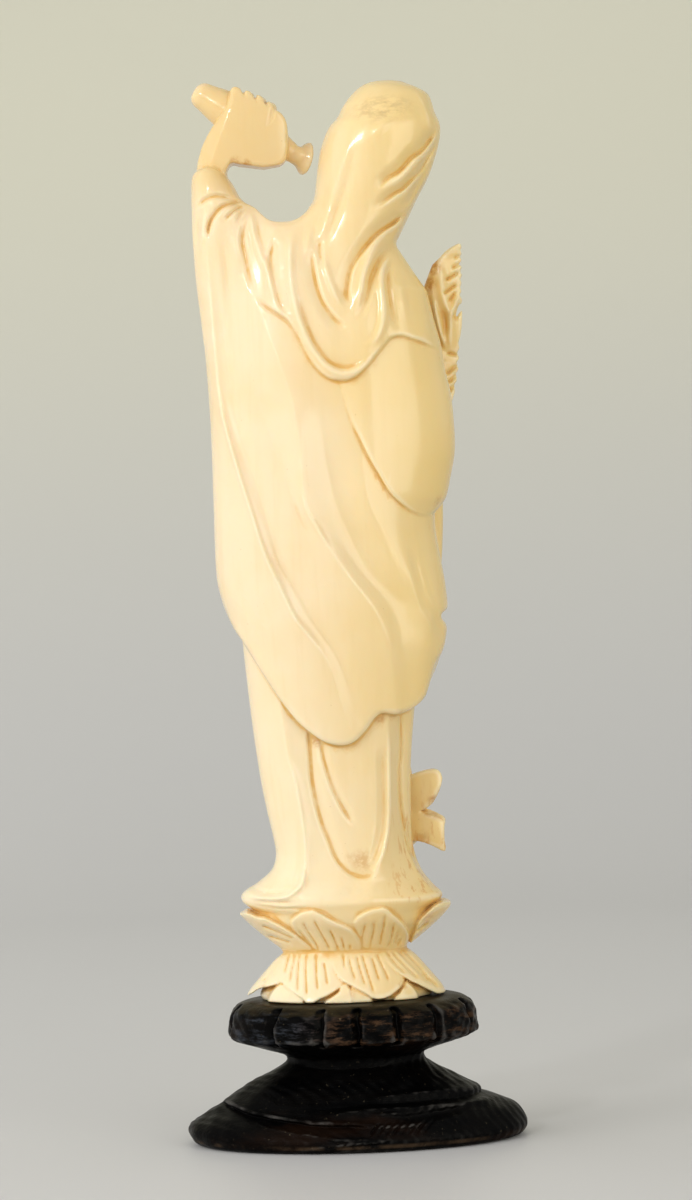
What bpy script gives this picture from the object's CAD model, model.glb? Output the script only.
"""A carved ivory figure of a veiled woman on a lotus pedestal, on an ebonised wooden stand.

The carving is worked out in millimetres as a field of distances, which is then made into a mesh.
+Z is up, the figure faces -Y, and its own left side, with the raised arm, is +X.
"""
import math

import bpy
import mathutils
import numpy as np
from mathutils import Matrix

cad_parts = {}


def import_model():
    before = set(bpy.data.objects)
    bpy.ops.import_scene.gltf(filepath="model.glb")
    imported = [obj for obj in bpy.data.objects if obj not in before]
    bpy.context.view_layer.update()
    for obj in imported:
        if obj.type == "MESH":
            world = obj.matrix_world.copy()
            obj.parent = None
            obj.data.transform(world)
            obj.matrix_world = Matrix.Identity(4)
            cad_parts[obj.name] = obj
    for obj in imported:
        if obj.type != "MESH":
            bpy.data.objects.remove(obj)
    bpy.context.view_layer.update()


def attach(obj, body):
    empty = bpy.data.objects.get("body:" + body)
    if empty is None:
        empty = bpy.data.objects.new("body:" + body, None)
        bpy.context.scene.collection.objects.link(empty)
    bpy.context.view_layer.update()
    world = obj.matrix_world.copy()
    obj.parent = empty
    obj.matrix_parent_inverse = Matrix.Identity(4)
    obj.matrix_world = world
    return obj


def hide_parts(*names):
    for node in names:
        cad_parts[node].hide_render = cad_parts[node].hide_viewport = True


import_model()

MM = 0.001
CELL = 0.3
FAR = 6.0
MOST_TRIANGLES = 192000

# Driving sizes, as in the solids.
BASE_HALF_WIDTH = 34.2
BASE_HALF_DEPTH = 22.0
STAND_HEIGHT = 28.5
FIGURE_TOP = 211.3
HEAD_TILT = math.radians(14)


# Smooth functions and distances.

def through(*pairs):
    """A smooth function through (position, value) pairs whose positions rise."""
    at = np.array([p[0] for p in pairs], float)
    value = np.array([p[1] for p in pairs], float)
    before = np.maximum(np.arange(len(at)) - 1, 0)
    after = np.minimum(np.arange(len(at)) + 1, len(at) - 1)
    slope = (value[after] - value[before]) / (at[after] - at[before])

    def smooth(x):
        x = np.clip(x, at[0], at[-1])
        i = np.clip(np.searchsorted(at, x), 1, len(at) - 1)
        span = at[i] - at[i - 1]
        step = value[i] - value[i - 1]
        t = (x - at[i - 1]) / span
        bend = (1 - t) * (slope[i - 1] * span - step) - t * (slope[i] * span - step)
        return (value[i - 1] + t * step + t * (1 - t) * bend).astype(np.float32)

    return smooth


def smoothstep(x, low, high):
    t = np.clip((x - low) / (high - low), 0, 1)
    return t * t * (3 - 2 * t)


def union(a, b, blend):
    meet = np.maximum(blend - np.abs(a - b), 0)
    return np.minimum(a, b) - meet * meet / (4 * blend)


def common(a, b, blend):
    return -union(-a, -b, blend)


def traced(path, step=0.7):
    """A path of points made smooth and even."""
    path = np.array(path, float)
    along = np.concatenate([[0], np.cumsum(np.linalg.norm(np.diff(path, axis=0), axis=1))])
    places = np.linspace(0, along[-1], max(int(along[-1] / step), 2) + 1)
    columns = [through(*zip(along, path[:, i]))(places) for i in range(path.shape[1])]
    return np.stack(columns, axis=1)


class Grid:
    """A block of space cut into cells, with a field of distances to a surface."""

    def __init__(self, low, high):
        self.axes = [np.arange(a, b, CELL, dtype=np.float32) for a, b in zip(low, high)]
        shape = tuple(len(a) for a in self.axes)
        self.field = np.full(shape, FAR, np.float32)
        self.x = self.axes[0][:, None, None]
        self.y = self.axes[1][None, :, None]
        self.z = self.axes[2][None, None, :]

    def span(self, low, high):
        """The part of the block from one corner to another."""
        return tuple(
            slice(max(int((a - axis[0]) / CELL) - 1, 0), min(int((b - axis[0]) / CELL) + 3, len(axis)))
            for a, b, axis in zip(low, high, self.axes))

    def at(self, span):
        return self.x[span[0]], self.y[:, span[1]], self.z[:, :, span[2]]

    def add(self, span, distance, blend=0.5):
        self.field[span] = union(self.field[span], distance, blend)

    def cut(self, span, distance, blend=0.5):
        self.field[span] = common(self.field[span], -distance, blend)

    def place(self, shape, blend=0.5, cut=False):
        """Adds or cuts a small shape, given as its lowest and highest corners and its distance."""
        low, high, distance = shape
        span = self.span(np.array(low) - blend - 1, np.array(high) + blend + 1)
        act = self.cut if cut else self.add
        act(span, distance(*self.at(span)), blend)


def limb(points, smooth=True):
    """A round bar through points, each (x, y, z, radius)."""
    bar = traced(points, 1.2) if smooth else np.array(points, float)
    reach = bar[:, 3:].max()

    def distance(x, y, z):
        least = None
        for a, b in zip(bar[:-1], bar[1:]):
            run = b[:3] - a[:3]
            share = ((x - a[0]) * run[0] + (y - a[1]) * run[1] + (z - a[2]) * run[2]) / max(run @ run, 1e-6)
            share = np.clip(share, 0, 1)
            gap = np.sqrt((x - a[0] - share * run[0]) ** 2 + (y - a[1] - share * run[1]) ** 2
                          + (z - a[2] - share * run[2]) ** 2) - (a[3] + share * (b[3] - a[3]))
            least = gap if least is None else np.minimum(least, gap)
        return least.astype(np.float32)

    return bar[:, :3].min(axis=0) - reach, bar[:, :3].max(axis=0) + reach, distance


def turned_about_y(x, z, centre, angle):
    """Places across and up, seen from a centre in a frame leaning by an angle towards +X."""
    c, s = math.cos(angle), math.sin(angle)
    return (x - centre[0]) * c - (z - centre[2]) * s, (x - centre[0]) * s + (z - centre[2]) * c


def ellipsoid(centre, radii, angle=0.0):
    centre = np.array(centre, float)
    reach = max(radii)

    def distance(x, y, z):
        u, w = turned_about_y(x, z, centre, angle)
        v = y - centre[1]
        near = np.sqrt((u / radii[0]) ** 2 + (v / radii[1]) ** 2 + (w / radii[2]) ** 2)
        steep = np.sqrt((u / radii[0] ** 2) ** 2 + (v / radii[1] ** 2) ** 2 + (w / radii[2] ** 2) ** 2)
        return (near * (near - 1) / np.maximum(steep, 1e-4)).astype(np.float32)

    return centre - reach, centre + reach, distance


def outline_distance(x, z, outline):
    """The distance from a closed outline of points (x, z), less than nothing inside it."""
    least = np.full(np.broadcast(x, z).shape, FAR * FAR, np.float32)
    inside = np.zeros(least.shape, bool)
    for (ax, az), (bx, bz) in zip(outline, np.roll(outline, -1, axis=0)):
        dx, dz = bx - ax, bz - az
        share = np.clip(((x - ax) * dx + (z - az) * dz) / max(dx * dx + dz * dz, 1e-9), 0, 1)
        least = np.minimum(least, (x - ax - share * dx) ** 2 + (z - az - share * dz) ** 2)
        crosses = (z >= az) != (z >= bz)
        if abs(dz) > 1e-9:
            inside ^= crosses & (x < ax + (z - az) * dx / dz)
    return np.where(inside, -1, 1) * np.sqrt(least)


def slab(outline, back, front, blend=0.6, smooth=True):
    """A flat piece with an outline of points (x, z) between a back and a front, functions of (x, z)."""
    closed = traced(list(outline) + [outline[0]], 0.8)[:-1] if smooth else np.array(outline, float)
    low, high = closed.min(axis=0), closed.max(axis=0)

    def distance(x, y, z):
        edge = outline_distance(x, z, closed)
        faces = common(y - back(x, z), front(x, z) - y, blend)
        return common(edge.astype(np.float32), faces.astype(np.float32), blend)

    xs, zs = np.meshgrid(closed[:, 0], closed[:, 1])
    depth_low, depth_high = float(np.min(front(xs, zs))), float(np.max(back(xs, zs)))
    return (low[0], depth_low, low[1]), (high[0], depth_high, high[1]), distance


# Relief over a body seen square on from behind or from in front.

class Sheet:
    """How far the carved surface stands out, by distance across and height."""

    def __init__(self, grid):
        self.x = grid.axes[0][:, None]
        self.z = grid.axes[2][None, :]
        self.rise = np.zeros((self.x.size, self.z.size), np.float32)

    def folds(self, left, right, lines):
        """Cloth between fold lines. Each line has its distance across by height, how far it stands
        out by height, and how sharp it is. The lines go from the left side to the right."""
        z = self.z[0]
        still = np.zeros_like(z)
        across = [left(z)] + [through(*x)(z) for x, _, _ in lines] + [right(z)]
        rises = [still] + [through(*rise)(z) for _, rise, _ in lines] + [still]
        sharp = [0.0] + [s for _, _, s in lines] + [0.0]
        for i in range(1, len(across)):
            across[i] = np.minimum(across[i], across[i - 1] - 0.05)
        for i in range(len(across) - 1):
            t = (across[i] - self.x) / (across[i] - across[i + 1])
            between = (t > 0) & (t <= 1)
            ease = (t ** 3 - 2 * t ** 2 + t) * sharp[i] + (3 * t ** 2 - 2 * t ** 3) \
                + (t ** 3 - t ** 2) * sharp[i + 1]
            self.rise += np.where(between, rises[i] + (rises[i + 1] - rises[i]) * ease, 0)
        return self

    def stroke(self, path, width, height, sharp=2.0, ends=3.0, lip=0.0):
        """A groove or a ridge along a path. Its ends fade over a length. A lip makes it fall off
        slowly on one side: on the left of the path if more than nothing, else on the right."""
        path = traced(path)
        reach = max(width, abs(lip)) + 1
        i = slice(*np.searchsorted(self.x[:, 0], [path[:, 0].min() - reach, path[:, 0].max() + reach]))
        k = slice(*np.searchsorted(self.z[0], [path[:, 1].min() - reach, path[:, 1].max() + reach]))
        x, z = self.x[i], self.z[:, k]
        least = np.full(np.broadcast(x, z).shape, FAR * FAR, np.float32)
        side = np.ones(least.shape, np.float32)
        along = np.zeros(least.shape, np.float32)
        length = 0.0
        for a, b in zip(path[:-1], path[1:]):
            dx, dz = b - a
            run = math.hypot(dx, dz)
            share = np.clip(((x - a[0]) * dx + (z - a[1]) * dz) / (run * run), 0, 1)
            gap = np.hypot(x - a[0] - share * dx, z - a[1] - share * dz)
            nearer = gap < least
            least = np.where(nearer, gap, least)
            side = np.where(nearer, np.sign(dx * (z - a[1]) - dz * (x - a[0])), side)
            along = np.where(nearer, length + share * run, along)
            length += run
        fade = smoothstep(along, -0.3 * ends, ends) * smoothstep(length - along, -0.3 * ends, ends)
        widths = np.where(side * lip > 0, abs(lip), width)
        bump = np.clip(1 - (least / widths) ** sharp, 0, 1) ** 2
        self.rise[i, k] += height * fade * bump
        return self

    def strokes(self, rows):
        for row in rows:
            self.stroke(*row[:3], **(row[3] if len(row) > 3 else {}))
        return self


def body(grid, span, profile, back=None, front=None, power=2.2, blend=3.0):
    """The distance to a body whose level cuts are ovals. The profile gives, by height, its left and
    right sides and its half-depths behind and in front, and may give the depth of its middle."""
    x, y, z = grid.at(span)
    left, right = profile["left"](z), profile["right"](z)
    half = np.maximum((left - right) / 2, 0.05)
    middle = profile["plane"](z) if "plane" in profile else 0 * z
    u = np.abs((x - (left + right) / 2) / half)
    behind = y > middle
    depth = np.where(behind, profile["back"](z), -profile["front"](z))
    depth = np.maximum(depth, 0.05)
    v = np.abs((y - middle) / depth)
    total = np.maximum(u ** power + v ** power, 1e-6)
    slope = np.sqrt((u ** (power - 1) / half) ** 2 + (v ** (power - 1) / depth) ** 2)
    distance = (total ** (1 / power) - 1) / np.maximum(slope * total ** (1 / power - 1), 1e-3)
    distance = distance.astype(np.float32)
    if distance.shape[2] > 2:
        distance /= np.sqrt(1 + np.minimum(np.gradient(distance, CELL, axis=2) ** 2, 3))
    if back is not None or front is not None:
        share = smoothstep(y - middle, -blend, blend)
        for sheet, weight in ((back, share), (front, 1 - share)):
            if sheet is not None:
                distance = distance - weight * sheet.rise[span[0], None, span[2]]
    return distance.astype(np.float32)


def capped(grid, span, distance, top, bottom=-FAR, blend=0.8):
    """Keeps what lies between a bottom and a top, which may be a height by distance across."""
    x, y, z = grid.at(span)
    ends = np.maximum(z - (top(x) if callable(top) else top), bottom - z)
    return common(distance, np.broadcast_to(ends, distance.shape), blend).astype(np.float32)


def trimmed(grid, span, distance, back, front, blend=1.0, above=True):
    """Keeps what lies above an edge, or below it. The edge gives a height by distance across,
    behind and in front."""
    x, y, z = grid.at(span)
    share = smoothstep(y, -4, 4)
    across = grid.axes[0]
    heights, leans = [], []
    for edge in (back, front):
        height = edge(across)
        heights.append(height)
        leans.append(1 / np.sqrt(1 + np.gradient(height, CELL) ** 2))
    height = share * heights[0][span[0], None, None] + (1 - share) * heights[1][span[0], None, None]
    lean = share * leans[0][span[0], None, None] + (1 - share) * leans[1][span[0], None, None]
    below = (height - z) * lean
    return common(distance, below if above else -below, blend).astype(np.float32)


# Profiles of the cloak by height, and the edges that run round it.

CLOAK = {
    "left": through((78, 21.5), (92, 22.4), (104, 23), (110, 24.2), (116, 24.6), (138, 24.6),
                    (150, 24.8), (162, 25.4), (174, 25.9), (183, 25)),
    "right": through((78, -17), (88, -18.6), (94, -20), (98, -21), (102, -21.3), (105.2, -21.5),
                     (110, -21.2), (116, -20.3), (119, -19.8), (122, -19.5),
                     (135, -20), (150, -20), (160, -19), (168, -17), (173, -14.6), (177, -12.4),
                     (183, -8)),
    "back": through((78, 12.4), (90, 13.2), (105, 14), (120, 14), (135, 13.6), (150, 13), (162, 12),
                    (170, 10.8), (176, 9.4), (180, 8), (184, 6.2), (188, 4)),
    "front": through((78, -12.6), (90, -13.6), (105, -14.6), (120, -14.2), (135, -13.8), (150, -13.2),
                     (162, -11.8), (170, -10), (176, -8.4), (180, -7), (184, -5), (188, -3.6)),
}
SLEEVED = dict(CLOAK, right=through(
    (118, -18.9), (124, -18.8), (125.4, -19.4), (127.9, -21), (130.9, -21.8), (136.8, -23), (142.8, -23),
    (148, -22.6), (152, -21.8), (158, -20.8), (163, -19.5), (168, -18), (170, -16.6), (173.2, -14.6),
    (177.3, -12), (183, -8)))
CLOAK_TOP = through((-20, 183), (0, 185), (3, 185.3), (4.2, 184.5), (5.4, 183.7), (6.8, 183.1), (8.4, 182.9),
                    (10.6, 183.1), (11.8, 183.7), (13, 184.8), (14.1, 186), (15.3, 186.6), (17, 187))
HEM = (
    through((-22.5, 103), (-21.4, 99.6), (-20.4, 97), (-18.5, 94.1), (-17.2, 90.2), (-16.2, 87.8),
     (-13.2, 85.5), (-10.3, 84.7), (-7.5, 85), (-6, 84), (-4.1, 81.6), (-1.8, 79.6), (0.7, 79), (3.9,
     79.8), (6.8, 81.8), (9.5, 84.4), (12.7, 88.8), (16.2, 94.4), (19.4, 99.8), (21.2, 102.5), (22.8,
     105.6), (24.5, 110)),
    through((-22.5, 103), (-20.5, 97), (-17, 90), (-13, 87.5), (-9, 91), (-4, 88), (2, 86), (8, 90),
            (13, 98), (18, 102), (23, 105.6), (24.6, 110)),
)
SLEEVE_EDGE = (
    through((-22, 126), (-19.3, 124.2), (-17.5, 123.7), (-15.5, 124.1), (-13.2, 125.7), (-10.5, 128.5),
     (-8.3, 132.4), (-6.5, 135.8), (-4.6, 140.1), (-3.4, 142.7), (-1, 151.1), (3.9, 163.9)),
    through((-22, 126), (-19, 124.6), (-9, 126), (0, 125.4), (9, 126.4), (24, 132)),
)
VEIL_EDGE = (
    through((-22.9, 155.7), (-21.5, 156.3), (-19.8, 157.1), (-17.9, 158), (-15.9, 158.6), (-14.2, 159.1),
     (-12.8, 159.1), (-11.6, 158.6), (-10.5, 157.4), (-9, 155.6), (-7.1, 153.4), (-5.4, 151.9), (-3.9,
     151), (-2.5, 150.6), (0.1, 151), (2, 152.2), (3.5, 154), (5, 156.6), (6.3, 159.6), (7.4, 161.5),
     (8.5, 162.8), (9.9, 163.9), (11.6, 165.1), (13.1, 166.4), (14.4, 167.9), (15, 169.2), (15.4,
     173.2)),
    through((-23, 156.8), (-17, 155), (-14, 156), (-11.6, 162), (-9.6, 171), (-8.4, 180), (1.6, 180),
            (3.2, 171), (5.4, 164), (8.4, 160), (11, 163), (13.2, 172), (15.3, 180.5)),
)
VEIL_RAISE = 1.1
SLEEVE_RAISE = 1.0

# Fold lines behind, from the left side to the right: distance across by height, how far they stand
# out by height, and how sharp they are.
CLOAK_BACK = [
    ([(79.6, -2), (88.4, 0.8), (96, 3), (100.8, 6.2), (104.3, 8.8), (110.1, 11.4), (117.2, 14.4), (127.2,
     17.3), (135.4, 19.6), (144.9, 21.9), (153.7, 22.8), (178.1, 23.9)], [(79, 0.1), (92, 0.3), (104,
     0.75), (160, 0.6)], 1.5),
    ([(79.5, -4.3), (88.4, -1.8), (96.2, 0.9), (102.7, 4.9), (109.4, 8.4), (115.2, 11.6), (121.8, 13.3),
     (129.6, 15.3), (139.5, 18.1), (149.5, 20), (177.3, 22.2)], [(79, 0), (92, -0.1), (104, -0.2), (160,
     -0.25)], 0.3),
    ([(79.5, -7.3), (92.3, -3.6), (102.1, -0), (110, 3.4), (119.8, 6.8), (129.6, 9.4), (137.5, 11.8),
     (144.8, 14.2), (150, 16.1), (155.6, 17.5), (167.7, 20), (175.3, 21.1)], [(79, 0), (100, 0.1), (125,
     0), (138, -0.35), (176, -0.4)], 0.3),
    ([(79.5, -10.4), (84.4, -10.4), (98.2, -9.4), (105.4, -6.8), (111.5, -2.5), (117.1, 1.3), (121.9,
     3.8), (126.5, 5.7), (132.4, 6.4), (139.3, 6.7), (149.2, 8.4), (161.1, 12.3), (175, 16.7)], [(79,
     0.1), (95, 0.2), (108, 0.6), (122, 0.85), (135, 0.8), (150, 0.5), (165, 0)], 0.9),
    ([(79.4, -12.8), (98.1, -12.6), (106.3, -10.7), (112.4, -6), (120.3, -2.4), (129.3, 0.3), (139.4,
     1.3), (151.1, 0.6), (174.6, 3.9)], [(79, 0), (98, -0.2), (108, -0.55), (130, -0.65), (140, -0.2),
     (150, 0)], 0),
    ([(79.4, -15.2), (92.2, -16.2), (102.1, -17.7), (106.6, -17.2), (114.3, -12.8), (120.1, -9.7),
     (127.3, -6.3), (136.4, -5.5), (151.2, -6.3), (174.7, -3.9)], [(79, 0.1), (98, 0.2), (108, 0.5),
     (127, 0.4), (137, 0)], 0.4),
]
CLOAK_BACK_STROKES = [
    ([(22.7, 151.6), (21.8, 144.6), (19.6, 135.4), (17.3, 127.2), (14.4, 117.2), (11.4, 110.1), (8.8,
     104.3), (6.2, 100.8), (4.4, 98.5)], 0.8, 0.34, {"sharp": 1.1, "ends": 8}),
    ([(6.7, 129.6), (5.9, 125.6), (3.8, 121.5), (1.7, 117.8)], 0.9, 0.36, {"sharp": 1.1}),
    ([(8.2, 128.2), (7.2, 124.1), (5.1, 119.8)], 1.1, -0.2),
    ([(-14.3, 118.1), (-16.9, 106.7), (-18.9, 102.8), (-19.5, 98.5)], 1.6, -0.5, {"ends": 5}),
    ([(-16.2, 115.9), (-18.2, 108), (-19.7, 104)], 0.8, -0.2, {"ends": 4}),
    ([(22.4, 112.4), (20.7, 108.4), (18.3, 104.4), (15.3, 99.1)], 2.2, 0.35, {"ends": 5}),
]
SLEEVE_BACK_STROKES = [
    ([(-9.5, 127.1), (-7.5, 130.8), (-5.7, 134.5), (-4.1, 138.4)], 1.3, -0.5, {"ends": 3}),
]
SHOULDER_STROKES = [
    ([(6.8, 179.9), (7.3, 177.6), (7.5, 174.4), (7.4, 169.9), (7, 167), (6.5, 164.5), (5.4, 161.4), (4.1,
     158.3), (2.4, 155.6), (0.4, 153.1), (-1.9, 151.9), (-4.1, 152.1), (-5.9, 153.5)], 1.3, 0.6,
     {"sharp": 1.5, "ends": 5}),
    ([(6, 166.9), (5.4, 163.7), (4.3, 160.2), (3, 157.3), (1.2, 154.9), (-0.6, 153.7), (-2.6, 153.2),
     (-4.5, 153.5), (-6.3, 154.7)], 0.8, -0.65, {"sharp": 1.3, "ends": 4, "lip": -3.2}),
    ([(10.5, 179.6), (11.2, 176.9), (11.5, 174.1), (11.2, 171.4), (10.5, 168.4), (9.6, 165.8), (8.3,
     163.9)], 0.8, -0.75, {"sharp": 1.3, "ends": 3, "lip": -3.6}),
    ([(15, 184.8), (14.7, 182.6), (14.5, 180.6), (13.9, 178.5), (13.2, 175.9), (12.1, 173.4), (11.4,
     170.7), (10.7, 167.7)], 1.1, 0.55, {"sharp": 1.4, "ends": 3}),
    ([(16, 184.3), (16.5, 181.9), (16.8, 179.2), (16.3, 176.2), (15.7, 172.3), (14.8, 168.8)], 1, -0.5,
     {"ends": 4}),
    ([(14.4, 167.9), (13.1, 166.4), (11.6, 165.1), (9.9, 163.9), (8.5, 162.8), (7.4, 161.5)], 0.8, -0.3,
     {"ends": 3}),
    ([(3.5, 182.2), (3.8, 178.7), (3.7, 175.5), (3.4, 172.8)], 1.3, 0.35, {"ends": 4}),
    ([(3.3, 177), (3, 173.6), (2.5, 170.3), (1.7, 167.2), (0.4, 164.7), (-1.1, 162.7), (-3.1, 161.1)],
     0.8, -0.8, {"sharp": 1.3, "ends": 3, "lip": 2.6}),
    ([(1.3, 179.3), (1.6, 176.6), (1.1, 173.7)], 0.9, -0.35, {"ends": 2}),
    ([(1, 176.1), (0.5, 173), (-0.4, 169.8), (-1.5, 166.9), (-2.8, 164.4)], 1.2, 0.45, {"sharp": 1.4,
     "ends": 4}),
    ([(-15.3, 183.9), (-13, 181.8), (-11.2, 180.6), (-9.6, 179.3), (-8.2, 177.8), (-6.9, 176.3), (-5.4,
     174.3), (-4.4, 172.5), (-3.8, 170.1), (-3.5, 167.6), (-4, 165.6)], 0.8, -1.05, {"sharp": 1.3,
     "ends": 3, "lip": 2.8}),
    ([(-12.3, 179.4), (-10.1, 177.8), (-8.7, 175.8), (-7.6, 173.3), (-6.7, 170.4), (-6.2, 167.8), (-5.3,
     165.3)], 1.7, 0.65, {"ends": 5}),
    ([(-12.8, 177.3), (-11.2, 175.7), (-9.6, 173.6), (-8.3, 171.1), (-7.6, 168.3), (-6.7, 165.3), (-5.4,
     162.5)], 1.4, -0.65, {"ends": 5}),
    ([(-11.8, 175.7), (-10.9, 173.4), (-10.4, 169.2), (-10.6, 165.3), (-10.3, 161.8), (-9.1, 158.9),
     (-7.2, 157.1)], 1.5, 0.75, {"sharp": 1.6, "ends": 5}),
    ([(-12.3, 174.1), (-11.6, 171), (-11.9, 166.7), (-12.5, 162.7), (-13.2, 160.3)], 1.2, -0.55,
     {"ends": 4}),
    ([(-13.8, 171.1), (-14.4, 166.2), (-15.1, 162.6)], 1.4, 0.3, {"ends": 4}),
    ([(-5.5, 199), (-4.4, 196.2), (-3.4, 193.2), (-2.3, 190.3), (-1.2, 187.4), (-0.3, 184.5), (0.9,
     180.5), (1.8, 177.7)], 1.9, 0.45, {"sharp": 1.5, "ends": 6}),
    ([(-5.3, 193.1), (-4.4, 189.9), (-3.2, 186.7), (-2.3, 184.4), (-1, 181.3), (0.3, 178.2)], 1.2, -0.25,
     {"ends": 6}),
    ([(-22.2, 200.2), (-21.3, 198.7), (-20.5, 197.4), (-19, 195.6), (-17.1, 194.3), (-15.4, 192.4),
     (-14.1, 191.3), (-12.7, 190.6), (-11.5, 189.6), (-10.5, 188.8)], 0.7, -0.95, {"sharp": 1.3,
     "ends": 2.5, "lip": 2.4}),
    ([(-22.5, 198.3), (-20.4, 194.6), (-18.9, 192.2), (-17, 190.2), (-15, 188.3), (-13.6, 187.5), (-11.5,
     186), (-9.8, 184.8)], 0.7, -0.8, {"sharp": 1.3, "ends": 4, "lip": 1.8}),
    ([(-21.6, 195.2), (-19.2, 191.3), (-17.5, 188.6), (-16.2, 186.4), (-14.1, 184.8)], 0.9, -0.4,
     {"ends": 4}),
    ([(-21.7, 199.1), (-20.4, 196), (-18.3, 193.7), (-16.3, 191.4), (-14.3, 189.7), (-12.2, 188.2)], 1.2,
     0.35, {"ends": 4}),
    ([(-18.1, 208.3), (-19.6, 205.9), (-20.5, 203.3), (-20.9, 201.1), (-21, 198.9)], 1.8, 0.4,
     {"sharp": 1.2, "ends": 4}),
    ([(-13.7, 202.3), (-12.1, 201), (-10.8, 199.6), (-10.1, 198)], 1.5, 0.3, {"ends": 3}),
]
CLOAK_FRONT = [
    ([(86, -13.4), (110, -14), (126, -15), (150, -15.6), (178, -13)],
     [(86, 0.8), (120, 0.8), (125, 0.2), (178, 0.3)], 0.5),
    ([(86, -9.4), (110, -8.6), (126, -7), (135, -7), (150, -9.4), (165, -11.4), (178, -11.6)],
     [(86, -0.7), (122, -0.7), (126, 0.3), (132, 0.3), (135, -0.5), (178, -0.4)], 0.2),
    ([(86, -4.4), (110, -4), (126, -3), (135, -2.4), (150, -5), (165, -8), (178, -9.4)],
     [(86, 0.8), (122, 0.6), (126, 0.4), (132, 0.4), (135, 0.9), (178, 0.8)], 0.8),
    ([(86, 2), (110, 1.6), (126, 1), (135, 0.4), (150, 0), (165, -1.6), (178, -3)],
     [(86, -0.7), (122, -0.6), (126, 0.4), (132, 0.4), (135, 0.5), (140, -0.6), (178, -0.9)], 0.2),
    ([(86, 7.4), (110, 6.4), (126, 5), (135, 4), (150, 5), (165, 6), (178, 5)],
     [(86, 0.7), (122, 0.7), (126, 0.4), (132, 0.4), (135, 0.4), (150, 0.8), (178, 0.8)], 0.8),
    ([(86, 11), (110, 10.6), (130, 9.6), (150, 9.6), (165, 9.4), (178, 9)],
     [(86, -0.7), (122, -0.7), (126, 0), (132, 0), (135, -0.7), (178, -0.6)], 0.2),
    ([(86, 13.4), (110, 13.6), (130, 13), (150, 13), (178, 14)], [(86, 1.3), (150, 1.2), (178, 0.4)], 1.2),
    ([(86, 17.4), (110, 18), (150, 18), (178, 20)], [(86, -0.6), (150, -0.5), (178, -0.4)], 0),
]

SKIRT = {
    "left": through((42, 15), (46, 18.6), (47, 20.2), (47.8, 21.3), (48.7, 21.8), (49.6, 21.6), (50.5, 20.6),
                    (51.7, 18.5), (54.2, 15.6), (57.1, 14.6), (60.2, 14.9), (66.2, 16.1), (72.2, 17.1),
                    (84.3, 18.5), (99, 19.7), (112, 20.4)),
    "right": through((42, -12.6), (46, -16.4), (47, -17.6), (48, -18.4), (48.8, -18.2), (50, -17),
                     (53.1, -14.7), (57.2, -13.2), (61.2, -12.7), (67.2, -12.8), (74.2, -13),
                     (84.2, -14), (99, -16), (112, -17)),
    "back": through((42, 10.4), (45, 12.2), (46.6, 12.8), (48.2, 13.2), (50, 12.6), (53, 10.9), (60, 10),
                    (72, 10.2), (84, 10.8), (99, 11.6)),
    "front": through((42, -10.4), (46, -12.4), (48.4, -13.6), (50, -13), (53, -11.4), (60, -10.8),
                     (72, -10.8), (84, -11.4), (99, -12)),
}
SKIRT_BACK = [
    ([(46.6, 14.8), (49.6, 14.1), (51.5, 10.2), (54.4, 8.9), (59.7, 8.5), (64.6, 8.9), (69.1, 9.5),
     (73.3, 10.3), (77.2, 11.3), (99.1, 13.8)], [(46, 0), (49, 0.2), (51, 0.6), (54, 0.9), (99, 0.7)],
     1.6),
    ([(46.9, 5.9), (52.8, 2.5), (56.3, 3.3), (59.9, 4.3), (64, 5.6), (68.6, 6.5), (74, 7), (99.1, 7.9)],
     [(46, 0), (51, 0), (54, -0.3), (99, -0.3)], 0),
    ([(46.9, -0), (52.8, -1), (56.8, -1), (63.7, -0.8), (66.6, 0.6), (70.6, 2.3), (75.1, 3.9), (79.4,
     4.9), (99.1, 5.9)], [(46, 0), (52, -0.3), (56, -0.2), (62, -0.1), (66, -0.1), (99, -0.1)], 0),
    ([(46.8, -4.9), (51.8, -4.4), (54, -5.3), (57.4, -6.9), (62.5, -8), (68, -8.4), (99.1, -8.8)], [(46,
     0), (51, 0.2), (54, 0.8), (99, 0.8)], 1),
    ([(46.3, -12.9), (51.1, -12.5), (57.8, -11.1), (65.4, -10.6), (72.3, -10.4), (77.3, -11), (99.1,
     -12.3)], [(46, 0), (51, -0.4), (57, -0.7), (99, -0.5)], 0),
]
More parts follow.
